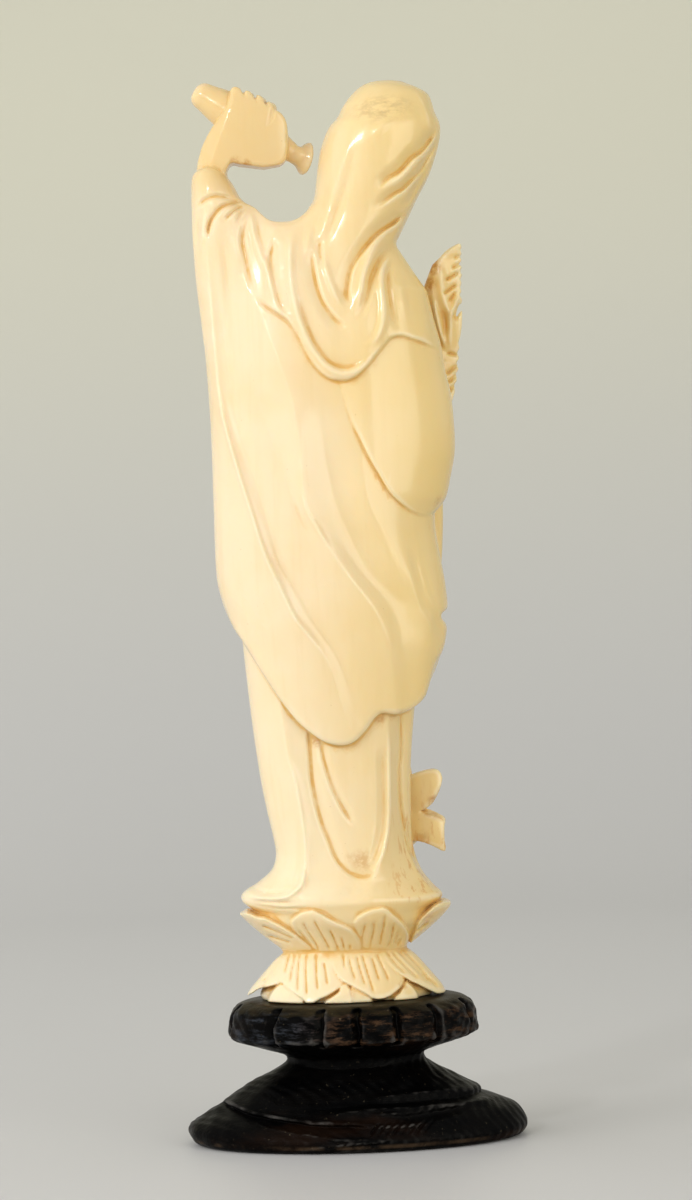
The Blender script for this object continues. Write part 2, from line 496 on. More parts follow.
SKIRT_BACK_STROKES = [
    ([(7.1, 82.4), (7, 76.5), (6.8, 72), (6.3, 68.7), (5.3, 64.1), (3.8, 59.9), (2.6, 56.7), (0.7, 54.3),
     (-1.6, 53), (-3.6, 52.9), (-5, 54)], 0.8, -0.75, {"sharp": 1.2, "ends": 2, "lip": -2.6}),
    ([(5, 81), (4.3, 76.1), (2.7, 70.5), (0.9, 66.5), (-0.9, 63.3)], 0.8, -0.7, {"sharp": 1.2, "ends": 3,
     "lip": -2}),
    ([(-5.4, 55), (-6.8, 57.8), (-7.9, 62.3), (-8.4, 68), (-8.7, 75.3), (-8.8, 81.3)], 0.9, 0.3,
     {"sharp": 1.2, "ends": 4}),
    ([(-3.9, 54.4), (-5.6, 58.1), (-6.7, 62.6), (-7.1, 68.5), (-7.2, 78.4)], 1.4, -0.45, {"ends": 4}),
    ([(11.3, 77.2), (10.3, 73.3), (9.5, 69.1), (8.9, 64.6), (8.5, 59.6), (8.8, 54.6), (10, 51.6), (13.4,
     49.8)], 0.8, 0.25, {"sharp": 1.2, "ends": 5}),
    ([(-11.2, 86.2), (-11, 77.2), (-10.5, 72), (-10.7, 65.3), (-12.1, 57.8), (-15.2, 51)], 0.7, -0.45,
     {"sharp": 1.3, "ends": 4}),
    ([(-11.8, 64.3), (-12.7, 57.3), (-15.6, 51.4), (-17.6, 49)], 0.7, -0.4, {"ends": 4}),
    ([(20.6, 51), (18.6, 50.6), (15.9, 50.2), (13.3, 50.3), (11.5, 50.8), (10.3, 51.6)], 0.9, -0.4,
     {"ends": 3}),
    ([(9, 55), (8.9, 53.4), (9.5, 51.8), (10.7, 50.7), (12.5, 49.7), (14.9, 49.3), (17.5, 49.3), (20.1,
     49.6)], 0.9, 0.5, {"sharp": 1.2, "ends": 3}),
    ([(19.9, 48.7), (17.5, 48.7), (14.9, 48.6), (12, 48.5), (10, 48.7)], 0.7, -0.35, {"ends": 3}),
    ([(19.5, 48.1), (16.3, 47.6), (13, 47.3), (10, 47.3), (7.1, 47.1)], 0.5, -0.25, {"ends": 2}),
    ([(6, 49.3), (2.1, 49.3), (-1.9, 50), (-6.8, 50)], 1.6, -0.2, {"ends": 5}),
]
SKIRT_FRONT = [
    ([(46, -9), (60, -8.4), (99, -9.4)], [(46, 0), (52, -0.8), (99, -0.8)], 0.3),
    ([(46, -4), (56, -3), (66, -4.6), (99, -6)], [(46, 0.2), (54, 0.9), (99, 0.8)], 1.2),
    ([(46, 1.6), (60, 1.4), (99, 1)], [(46, 0), (52, 0), (58, -0.9), (99, -0.8)], 0.3),
    ([(46, 7), (56, 6.4), (66, 8), (99, 9.4)], [(46, 0.2), (54, 0.9), (99, 0.8)], 1.2),
    ([(46, 13), (60, 11.4), (99, 13)], [(46, 0), (52, -0.8), (99, -0.8)], 0.3),
]

HOOD = {
    "left": through((162, 0), (170, 1), (176, 2.6), (181.3, 3.4), (185.4, 2.7), (190.4, 2), (195.8, 1.2),
                    (198.5, 0.5), (201.9, -1), (203.8, -2.7), (206.4, -4.2), (208.9, -6.3),
                    (210.4, -8.4), (211, -10.2), (FIGURE_TOP, -12)),
    "right": through((162, -7), (170, -9.4), (177, -12.4), (179.2, -14), (182.6, -15.8), (187.1, -18.1),
                     (191.4, -20.5), (195.4, -22.1), (198.5, -23), (200.5, -23.3), (202.1, -23.2),
                     (204.4, -22.3), (206.4, -21.8), (208, -21.1), (209.2, -19.4), (210, -17.6),
                     (210.9, -15.4), (FIGURE_TOP, -12.6)),
    "back": through((162, 5), (168, 7.6), (174, 9.6), (180, 10.6), (185, 10.8), (195, 11.6), (201, 11.4),
                    (206, 9.6), (209, 6.8), (210.6, 3.6), (FIGURE_TOP, 0.4)),
    "front": through((162, -7), (170, -8), (177, -8.5), (185, -9), (195, -9.8), (201, -9.4), (206, -8),
                     (209, -6), (210.6, -3.4), (FIGURE_TOP, -0.4)),
}

ARM_SLEEVE = {
    "left": through((160, 24), (166, 25), (172, 25.9), (177, 26.5), (181, 26.9), (187, 26.9),
                    (191.7, 26.8), (193.4, 26.4), (194.4, 25.4), (195, 23.8)),
    "right": through((160, 15.5), (166, 14.5), (175, 13), (181, 12.4), (184, 13.6), (186, 15.6),
                     (188.1, 16.9), (191, 18.3), (193.2, 19.8), (194.4, 21), (195, 22.4)),
    "back": through((160, 4), (166, 6), (172, 7.2), (180, 7.8), (186, 7.6), (190, 7), (192.5, 6.2),
                    (194.2, 5), (195.2, 3)),
    "front": through((160, -4), (166, -6), (172, -7), (180, -7.6), (186, -7), (190, -6), (193, -4.2),
                     (194.4, -2.4), (195, -0.6)),
}
ARM_SLEEVE_STROKES = [
    ([(25.4, 186.4), (24.3, 187.6), (23.2, 188.1), (21.6, 188.4), (20, 188.2), (18.4, 187.9)], 0.9,
     -0.65, {"sharp": 1.4, "ends": 2}),
    ([(23.8, 180.3), (23.4, 182.5), (22.6, 184.1), (21.5, 185.5), (20.3, 186.4), (18.7, 187), (16.6,
     187.7)], 0.9, -0.8, {"sharp": 1.4, "ends": 2}),
    ([(20.4, 183.4), (18.7, 185), (17.5, 186.1), (16.1, 187.1)], 0.8, -0.6, {"sharp": 1.4, "ends": 1.5}),
    ([(17.8, 182.7), (17.1, 184.9), (16.1, 186.5)], 0.8, -0.5, {"ends": 2}),
    ([(24, 186.2), (24.3, 182.8), (24.6, 178.9)], 1.2, 0.4, {"ends": 3}),
    ([(24.8, 185.4), (25.3, 182.8), (25.8, 179.9), (25.7, 176.5)], 0.9, -0.4, {"ends": 4}),
    ([(20.8, 181), (20.5, 176.5), (20.1, 171.6), (19.8, 167.6)], 1.2, -0.3, {"ends": 5}),
    ([(18.3, 182.4), (18.1, 177.5), (18, 172.5)], 1.2, 0.25, {"ends": 5}),
]


# The pieces of the carving.

NICKS = [(103.2, 3.5), (94.6, 3.2)]


def cloak(grid):
    span = grid.span((-28, -19, 76), (28, 17, 190))
    front = Sheet(grid).folds(CLOAK["left"], CLOAK["right"], CLOAK_FRONT[::-1]).strokes(CLOAK_FRONT_STROKES)
    back = Sheet(grid).folds(CLOAK["left"], CLOAK["right"], CLOAK_BACK)
    back.rise *= 1.4
    back.strokes(CLOAK_BACK_STROKES)
    under = capped(grid, span, body(grid, span, CLOAK, back, front), CLOAK_TOP)
    grid.add(span, trimmed(grid, span, under, *HEM, blend=1.3), 0.5)

    for z, reach in NICKS:
        grid.place(ellipsoid((-23.4, 1, z), (reach, 12, 1.5), -0.2), 1.2, cut=True)

    raised = SLEEVE_RAISE * smoothstep(-back.x, 0, 8)
    back.rise = back.rise * (1 - 0.7 * smoothstep(-back.x, 2, 9)) + raised
    back.strokes(SLEEVE_BACK_STROKES)
    front.rise = front.rise + raised
    sleeve = capped(grid, span, body(grid, span, SLEEVED, back, front), CLOAK_TOP)
    grid.add(span, trimmed(grid, span, sleeve, *SLEEVE_EDGE, blend=0.8), 0.3)
    return front


def veil(grid, front):
    span = grid.span((-28, -19, 148), (28, 17, 213))
    plain = Sheet(grid)
    over_sleeve = SLEEVE_RAISE * smoothstep(-plain.x, 1, 8) * (1 - smoothstep(-plain.x, 18, 22))
    plain.rise += VEIL_RAISE * smoothstep(14.5 - plain.x, 0, 5) + 0.8 * over_sleeve
    shoulders = capped(grid, span, body(grid, span, SLEEVED, plain, front), CLOAK_TOP, blend=2.6)
    shoulders = trimmed(grid, span, shoulders, *VEIL_EDGE, blend=0.9)
    hood = capped(grid, span, body(grid, span, HOOD), FIGURE_TOP, 162)
    x, y, z = grid.at(span)
    hooded = union(shoulders, hood, 1.2 + 2.8 * smoothstep(x, -15, -7))
    grid.add(span, hooded, 0.4)


def shoulder_folds(grid):
    """The folds that run from the hood and the raised arm across the veil and the cloak."""
    span = grid.span((-28, 0, 148), (28, 17, 213))
    carved = Sheet(grid).strokes(SHOULDER_STROKES + ARM_SLEEVE_STROKES)
    x, y, z = grid.at(span)
    grid.field[span] -= smoothstep(y, 0.5, 5) * carved.rise[span[0], None, span[2]]


def skirt(grid):
    span = grid.span((-22, -17, 41), (24, 16, 112))
    back = Sheet(grid).folds(SKIRT["left"], SKIRT["right"], SKIRT_BACK).strokes(SKIRT_BACK_STROKES)
    front = Sheet(grid).folds(SKIRT["left"], SKIRT["right"], SKIRT_FRONT[::-1])
    grid.add(span, capped(grid, span, body(grid, span, SKIRT, back, front), 112, 42), 0.4)


def arm_sleeve(grid):
    span = grid.span((10, -10, 160), (28, 10, 196.5))
    front = Sheet(grid).strokes(ARM_SLEEVE_STROKES[:4])
    grid.add(span, capped(grid, span, body(grid, span, ARM_SLEEVE, None, front), 195.2, 160.5, 1.6), 2.4)


VASE_FOOT = np.array((25.6, -0.6, 210.5))
VASE_BODY = np.array((12.4, -0.6, 201.9))
VASE_PROFILE = through((0, 2.35), (0.1, 2.65), (0.2, 2.95), (0.4, 3.65), (0.7, 4.2), (1, 4.4))
VASE_NECK = [(10.6, 200.2, 3.0), (8.8, 199.0, 2.5), (7.2, 197.9, 2.1), (5.9, 197.1, 1.7), (5.0, 196.8, 1.7)]
VASE_LIP = through((0, 1.5), (0.25, 1.65), (0.45, 1.95), (0.6, 2.4), (0.74, 2.95), (0.85, 3.3), (0.93, 3.35),
                   (1, 2.7))


def revolved(low_end, high_end, profile, blend):
    """A turned piece between two ends, with its radius by the share of its length."""
    run = high_end - low_end
    length = np.linalg.norm(run)
    run = run / length
    reach = 6.0

    def distance(x, y, z):
        along = (x - low_end[0]) * run[0] + (y - low_end[1]) * run[1] + (z - low_end[2]) * run[2]
        square = (x - low_end[0]) ** 2 + (y - low_end[1]) ** 2 + (z - low_end[2]) ** 2 - along ** 2
        share = along / length
        radius = profile(share)
        lean = (profile(share + 0.02) - profile(share - 0.02)) / (0.04 * length)
        side = (np.sqrt(np.maximum(square, 0)) - radius) / np.sqrt(1 + lean ** 2)
        return common(side, np.maximum(-along, along - length), blend).astype(np.float32)

    ends = np.stack([low_end, high_end])
    return ends.min(axis=0) - reach, ends.max(axis=0) + reach, distance


FIST_OUTLINE = [(25.8, 194.2), (25.2, 196.6), (24.5, 199), (23.4, 201.1), (22.1, 203.1), (20.3, 205),
 (19, 207), (18.5, 208.6), (18.4, 209.8), (17.9, 210.5), (17.2, 210.6), (16.4, 210.2), (15.8, 209.4),
 (15.4, 209.7), (14.8, 209.7), (14.1, 209.2), (13.6, 208.4), (13.1, 208.7), (12.4, 208.6), (11.8, 208.1),
 (11.4, 207.2), (10.9, 207.5), (10.3, 207.1), (9.8, 206.4), (9.6, 205.6), (9, 205.4), (8.2, 204.8),
 (7.5, 203.7), (7.2, 202.6), (7.1, 200.6), (7.2, 198), (7.6, 195.9), (8.2, 195.1), (9, 194.6),
 (10.6, 194.4), (12.2, 194.2), (14, 194.5), (15.6, 194.8), (17, 195), (18.4, 195.4), (19, 195),
 (19.6, 194), (20.1, 192.4), (24.1, 192.6)]
FIST_CREST = through((192, 23.5), (195.1, 22.8), (197, 22.1), (199.9, 21), (202.8, 19.9), (206, 18.8), (208.8, 17.9),
                     (210.7, 17.7))
KNUCKLES = [(17.3, 209.4), (14.7, 208.5), (12.4, 207.5), (10.5, 206.4)]
KNUCKLE_GAPS = [(15.7, 209.3), (13.4, 208.2), (11.3, 207.0)]


def raised_hand(grid):
    def back(x, z):
        past_crest = np.maximum(x - FIST_CREST(z), 0)
        return 4.9 - 0.014 * ((x - 14.5) ** 2 + (z - 201.5) ** 2) - 0.85 * past_crest

    def front(x, z):
        return -3.2 + 0.02 * ((x - 17) ** 2 + (z - 202) ** 2)

    grid.place(revolved(VASE_FOOT, VASE_BODY, VASE_PROFILE, 1.9), 0.3)
    grid.place(limb([(x, -0.6, z, radius) for x, z, radius in VASE_NECK]), 0.3)
    grid.place(revolved(np.array((7.0, -0.4, 197.1)), np.array((3.4, -2.1, 196.2)), VASE_LIP, 0.7), 0.3)
    grid.place(ellipsoid((2.6, -2.6, 196.0), (1.5, 1.8, 1.9), 0.1), 0.4, cut=True)
    grid.place(slab(FIST_OUTLINE, back, front, 0.8, smooth=False), 0.35)
    grid.place(limb([(22.4, 0, 188, 3.2), (22.6, 0, 192, 3.1), (22.6, -0.2, 195, 2.9), (21.6, -0.8, 199, 2.6)]),
               0.4)
    for x, z in KNUCKLES:
        grid.place(limb([(x + 0.5, 2.9, z - 2.2, 1.0), (x + 0.1, 2.4, z - 0.9, 1.2), (x, 1.2, z - 0.3, 1.25),
                         (x, -1.6, z, 1.3), (x, -4.6, z - 1.6, 1.25), (x + 0.5, -6.3, z - 4.6, 1.2),
                         (x + 1.4, -5.6, z - 7.6, 1.1)]), 0.2)
    for x, z in KNUCKLE_GAPS:
        grid.place(limb([(x - 0.4, back(x - 0.4, z - 0.9) + 0.1, z - 0.9, 0.15),
                         (x - 0.1, back(x - 0.1, z - 0.2) + 0.05, z - 0.2, 0.3), (x, 3, z + 0.3, 0.3),
                         (x, -1.5, z + 0.5, 0.25)]), 0.25, cut=True)
    grid.place(limb([(21.4, -2.2, 197.6, 1.9), (20, -4.6, 198.6, 1.7), (17.4, -6.2, 199.6, 1.4),
                     (14.6, -6.6, 199.8, 1.2)]), 0.5)
    grid.place(limb([(x, back(x, z) + 0.1, z, radius) for x, z, radius in
                     ((9.8, 205.4, 0.4), (10.1, 204.2, 0.4), (10.9, 202.6, 0.2))]), 0.4, cut=True)
    grid.place(limb([(7.9, 3.2, 203, 0.25), (7.8, 3.6, 200, 0.25), (8.1, 3.2, 196.8, 0.25)]), 0.4, cut=True)


SPRAY_OUTLINE = [
    (-18.3, 168.5), (-19.2, 170.4), (-20, 172.4), (-20.9, 174.5), (-22.3, 175.7), (-23.6, 177.1),
    (-25, 178), (-26.2, 178.5), (-26.7, 178.6), (-27, 177.8), (-26.6, 177.2), (-27, 176.6),
    (-26.6, 175.9), (-26.9, 175.2), (-26.4, 174.6), (-26.9, 173.8), (-26.5, 173), (-26.9, 172.2),
    (-26.5, 171.4), (-26.8, 170.6), (-26.4, 169.8), (-26.7, 169), (-26.2, 168.3), (-26.8, 167.4),
    (-26.7, 164.4), (-26.5, 161.8), (-26.1, 159.8), (-25.7, 158.8), (-25.9, 157.6), (-25.4, 156.8),
    (-25.8, 155.6), (-25.2, 154.8), (-25.6, 153.4), (-25.0, 152.6), (-25.2, 151.2), (-24.6, 150.4),
    (-24.7, 149), (-24, 146.9), (-22, 144.5), (-18, 144), (-15.6, 150), (-15, 158), (-16, 164)]
SPRAY_PLANE = through((144, -7), (156, -6.6), (165, -5.4), (172, -4.6), (178.6, -4.6))
SPRAY_CREST = through((156, -22.2), (162, -21.4), (167, -21), (169, -20.8), (171, -21.1), (173.3, -21.8),
                      (175.7, -22.8), (178.6, -26.4))
SPRAY_STROKES = [
    ([(-22.5, 174.5), (-22.6, 170.9), (-23.2, 166.9), (-24, 164.5), (-24, 160.9), (-24.1, 157)], 1.725,
     0.85, {"sharp": 1.3, "ends": 3}),
    ([(-23.4, 171.2), (-26.2, 172.8)], 0.6325, -0.85, {"sharp": 1.2, "ends": 0.6}),
    ([(-22.9, 168.4), (-25.6, 170.4)], 0.69, -0.94, {"sharp": 1.2, "ends": 0.6}),
    ([(-24, 167), (-25.4, 168.9)], 0.575, -0.77, {"sharp": 1.2, "ends": 0.6}),
    ([(-24.8, 173.6), (-26.8, 174.6)], 0.575, -0.77, {"sharp": 1.2, "ends": 0.5}),
    ([(-25.2, 175.6), (-26.8, 176.2)], 0.575, -0.59, {"sharp": 1.2, "ends": 0.5}),
    ([(-24.1, 163.6), (-25.2, 166.2), (-26.3, 168.4)], 0.805, 0.85, {"sharp": 1.2, "ends": 1.5}),
    ([(-24.9, 163), (-26, 165.4), (-26.8, 167)], 0.92, -0.85, {"ends": 1.5}),
    ([(-22.6, 165.6), (-23.2, 163.2), (-23.2, 160)], 1.035, -0.68, {"ends": 2}),
    ([(-23.2, 156.8), (-25.6, 156.2)], 0.69, -0.85, {"sharp": 1.2, "ends": 0.6}),
    ([(-22.9, 152.4), (-25.4, 154.3)], 0.69, -0.85, {"sharp": 1.2, "ends": 0.6}),
    ([(-23.2, 150.6), (-25.2, 152.4)], 0.69, -0.85, {"sharp": 1.2, "ends": 0.6}),
    ([(-23, 148.6), (-24.8, 150.5)], 0.69, -0.85, {"sharp": 1.2, "ends": 0.6}),
    ([(-19.9, 167.4), (-20.7, 163), (-21.8, 158.9), (-22.5, 157.1)], 0.805, -0.68, {"ends": 2}),
    ([(-20.8, 167), (-21.7, 162.5), (-22.9, 157.9)], 0.805, 0.51, {"ends": 2}),
]


def spray(grid):
    span = grid.span((-28, -18, 142), (-12, 1, 180))
    x, y, z = grid.at(span)
    carved = Sheet(grid).strokes(SPRAY_STROKES)
    rise = carved.rise[span[0], None, span[2]]
    crest = SPRAY_CREST(z)
    back = SPRAY_PLANE(z) + 0.6 - 0.8 * np.maximum(x - crest, 0) - 0.22 * np.maximum(crest - x, 0) + rise
    front = SPRAY_PLANE(z) - 2.2 + 0.03 * (x + 22) ** 2 - 0.6 * rise
    edge = outline_distance(x, z, np.array(SPRAY_OUTLINE)).astype(np.float32)
    distance = common(edge, common(y - back, front - y, 0.4), 0.45)
    grid.add(span, distance, 0.4)
    grid.place(ellipsoid((-20, -10.8, 161), (3.4, 2.8, 5.2), -0.15), 0.5)
    for x0, lean in ((-21.2, 0.2), (-18.9, -0.25), (-20, 0)):
        grid.place(limb([(x0, -12, 156.5, 1.1), (x0 - lean * 5, -13.2, 161, 1.5),
                         (x0 - lean * 8, -11.6, 166.4, 0.5)]), 0.25)
    grid.place(limb([(-14.8, -13, 147, 0.8), (-15, -14, 155, 2.2), (-14.8, -14.4, 163, 1.9),
                     (-14.4, -13.4, 171, 0.4)]), 0.4)
    grid.place(limb([(-20, -10, 160, 1.6), (-17, -12.6, 153, 1.5), (-14, -14.8, 147, 1.3),
                     (-11.6, -15.4, 136, 1.1), (-10.4, -14.2, 128, 1.0)]), 0.6)


HANGING_SLEEVE = {
    "left": through((103, -12.4), (106, -10.2), (116, -9.6), (128, -9.8), (138, -11), (146, -14)),
    "right": through((103, -17), (106, -19.6), (116, -21), (128, -21.6), (138, -21.4), (146, -18)),
    "back": through((103, 2.6), (110, 4), (146, 4)),
    "front": through((103, -2.2), (108, -4.6), (120, -5.8), (132, -6), (140, -5), (146, -2)),
    "plane": through((103, -10), (120, -10.4), (146, -9.6)),
}


def resting_arm(grid):
    span = grid.span((-23, -18, 102), (-8, -4, 148))
    front = Sheet(grid)
    for x0, x1 in ((-18.6, -17), (-15.8, -15.4), (-13, -13.6)):
        front.stroke([(x0, 104), (x0, 118), (x1, 132), (x1, 140)], 1.2, -0.8, ends=6)
    distance = body(grid, span, HANGING_SLEEVE, front, front, blend=6.0)
    x, y, z = grid.at(span)
    mouth = (103.6 + 0.9 * np.cos((x + 16) * 1.1) - z) * 0.9
    grid.add(span, common(distance, np.maximum(mouth, z - 146), 1.0), 1.2)
    grid.place(limb([(-18, -8.5, 138, 4.6), (-16.2, -12, 142.4, 3.6), (-13.6, -14.8, 146.4, 2.6)]), 1.4)
    grid.place(ellipsoid((-12.7, -15.6, 147.6), (2.6, 1.8, 2.9), 0.5), 0.6)
    for i in range(4):
        drop = 1.35 * i
        grid.place(limb([(-11.3 + 0.15 * i, -15.6, 149.4 - drop, 0.95), (-12.4, -17, 149.3 - drop, 0.9),
                         (-14.4, -17.2, 148.9 - drop, 0.85), (-15.8, -15.8, 148.4 - drop, 0.75)]), 0.2)
    grid.place(limb([(-12.2, -14.8, 150, 0.9), (-13.6, -16.2, 151.6, 0.85), (-15, -16.2, 152.4, 0.7)]), 0.4)


BOW_LOOP = [(-12, 71.7), (-13, 71.9), (-14.5, 72.4), (-16.1, 72.8), (-17.5, 73), (-18.5, 72.8), (-19.1, 72.1),
     (-19.4, 71.1), (-19.1, 69.7), (-18.7, 68.5), (-18, 67.1), (-17.4, 66.1), (-16.6, 65.4), (-15.8, 65),
     (-14.8, 64.6), (-13.8, 63.8), (-11.7, 63.3)]
BOW_TAIL = [(-11.7, 63.9), (-13.8, 64.2), (-14.8, 64.5), (-15.6, 64.8), (-16.2, 65.1), (-17.4, 64.5), (-18.6,
     63.7), (-19.5, 63.2), (-19.8, 62.7), (-19.5, 61.6), (-19.4, 60.2), (-19.4, 58.5), (-19.6, 57.1),
     (-19.5, 56.2), (-18.7, 56.4), (-17.6, 57.1), (-16.4, 57.7), (-15.2, 58.2), (-14, 58.5), (-12.8,
     58.4), (-11.5, 57.6)]


def bow(grid):
    """A loop over a tail, each with a bulging back that is cut away past a line."""
    for outline, crest, start, end, back in (
            (BOW_LOOP, (-17, 69.3), (-18.5, 68.9), (-16.2, 65.5), -4.4),
            (BOW_TAIL, (-16.9, 60.3), (-14.4, 64.4), (-19.8, 62.3), -4.8)):
        length = math.hypot(end[0] - start[0], end[1] - start[1])

        def behind(x, z):
            past = ((x - start[0]) * (end[1] - start[1]) - (z - start[1]) * (end[0] - start[0])) / length
            return back - 0.045 * ((x - crest[0]) ** 2 + (z - crest[1]) ** 2) - 2.2 * np.maximum(past, 0)

        def before(x, z):
            return back - 4.2 + 0.03 * ((x - crest[0]) ** 2 + (z - crest[1]) ** 2)

        grid.place(slab(outline, behind, before, 0.4, smooth=False), 0.7)
    grid.place(limb([(-5, -13.9, 127, 1.3), (-7, -14.4, 116, 1.5), (-8.6, -13.8, 104, 1.6), (-10.2, -12.2, 88, 1.6),
                     (-11.4, -9.8, 74, 1.7), (-12, -8.2, 66, 2.0), (-12.2, -7.8, 59, 1.6)]), 0.7)
    grid.place(limb([(-2.5, -14.2, 127, 1.2), (-4, -14.8, 114, 1.4), (-5, -14.2, 100, 1.5),
                     (-6.6, -12.8, 84, 1.5), (-7.4, -11.8, 72, 1.6), (-7.8, -11.6, 64, 1.1)]), 0.7)


# The pedestal: a waisted oval with a ring of upright petals over a ring of hanging ones. Each petal
# has its outline, its share of the ring's flare, how it leans across, and its grooves.
LOTUS_MIDDLE = 1.3
LOTUS_DEPTH = 0.68
PETAL_REACH = through((28.5, 20.7), (30.5, 19.5), (32, 18.1), (34.5, 15.8), (36.4, 14.0), (37.4, 12.9),
                      (38.2, 12.8), (40, 14.9), (42, 17.4), (44, 19.7), (46, 21.6), (47, 22.2))
PETAL_ROOT = through((28.5, 17), (29.6, 17.4), (31, 16.6), (33, 15), (35, 13.4), (36.6, 12.4), (37.6, 12.3),
                     (38.4, 12.2), (39, 12.6), (41, 14.6), (43, 16.9), (44.5, 18), (46, 18.4), (47.2, 18.2))
UPPER_PETALS = [
    ([(23, 46), (21.7, 46.3), (20.8, 46.6), (19.6, 46.3), (18.4, 45.8), (16.8, 45.6), (15.6, 45), (14.1,
     44.2), (12.5, 43.1), (10.8, 41.9), (9.3, 40.4), (8, 39.1), (7.2, 38), (14.5, 37.5), (18, 40.3),
     (22.3, 44.4)], 1, 0, [[(17.7, 43.8), (15.8, 43), (13.4, 42), (11.3, 41)], [(16.7, 41.5), (14.3,
     40.8), (11.9, 40.1)]]),
    ([(6.6, 38), (8, 39.1), (9.3, 40.4), (10.8, 41.9), (11.9, 43.4), (12.1, 44.7), (11.2, 45.7), (10,
     46.6), (8.6, 47.1), (7.4, 47.3), (6.7, 46.9), (5.5, 46.2), (4.2, 45.3), (2.8, 44.5), (1.3, 43.8),
     (-0.1, 42.9), (-1, 41.8), (-1.6, 40.5), (-1.9, 39.2), (-2.1, 37.8)], 0.62, -0.05, [[(10.6, 43.2),
     (9.6, 41.7), (8.5, 40.1), (7.6, 38.9)], [(9.5, 44.7), (8.8, 43), (7.9, 41.4), (7.1, 39.9), (6.6,
     38.4)], [(7.3, 45), (6.6, 43.4), (5.7, 41.6), (5, 40.1), (4.4, 38.6)], [(4.4, 43.3), (3.7, 41.6),
     (3.2, 40.1), (2.6, 38.4)], [(2.1, 41.5), (1.8, 40), (1.5, 38.5)], [(0.4, 40), (0.4, 38.5)]]),
    ([(-2.3, 37.8), (-2.1, 38.8), (-1.6, 41), (-0.9, 42.7), (-0.3, 44.2), (-1.1, 45.4), (-2.3, 46.2),
     (-3.9, 46.9), (-5.5, 47.2), (-6.5, 47.3), (-7.5, 46.7), (-8.4, 45.6), (-9.4, 44.6), (-10.4, 43.4),
     (-11.1, 42.1), (-11.5, 41), (-11.5, 39.8), (-11.3, 38.8), (-10.5, 37.7)], 0.55, -0.06, [[(-2.9,
     43.9), (-2.4, 42.4), (-2.1, 40.9), (-2, 39.4)], [(-4.5, 44.4), (-4.4, 42.5), (-3.9, 40.6), (-3.5,
     38.7)], [(-6.7, 45.5), (-6.4, 43.4), (-5.9, 41.3), (-5.5, 39)], [(-8.4, 43.5), (-8.1, 41.8), (-7.7,
     40.1), (-7.1, 38.6)], [(-9.1, 41.9), (-8.7, 40.4), (-8.3, 38.7)], [(-9.9, 40.5), (-9.3, 39.5),
     (-8.9, 38.4)]]),
    ([(-11.1, 37.8), (-11.5, 39.3), (-11.9, 40.4), (-12.6, 42), (-13, 43.3), (-13.8, 44.5), (-15, 45.6),
     (-16.2, 46.6), (-17.3, 47.2), (-18.5, 47.4), (-20.3, 47.1), (-21, 43.9), (-17.5, 38.5), (-14, 37)], 1, 0,
     [[(-15.2, 43.3), (-13.6, 42), (-11.7, 40.9)], [(-15.7, 42.1), (-13.8, 40.3), (-11.9, 39.7)]]),
]
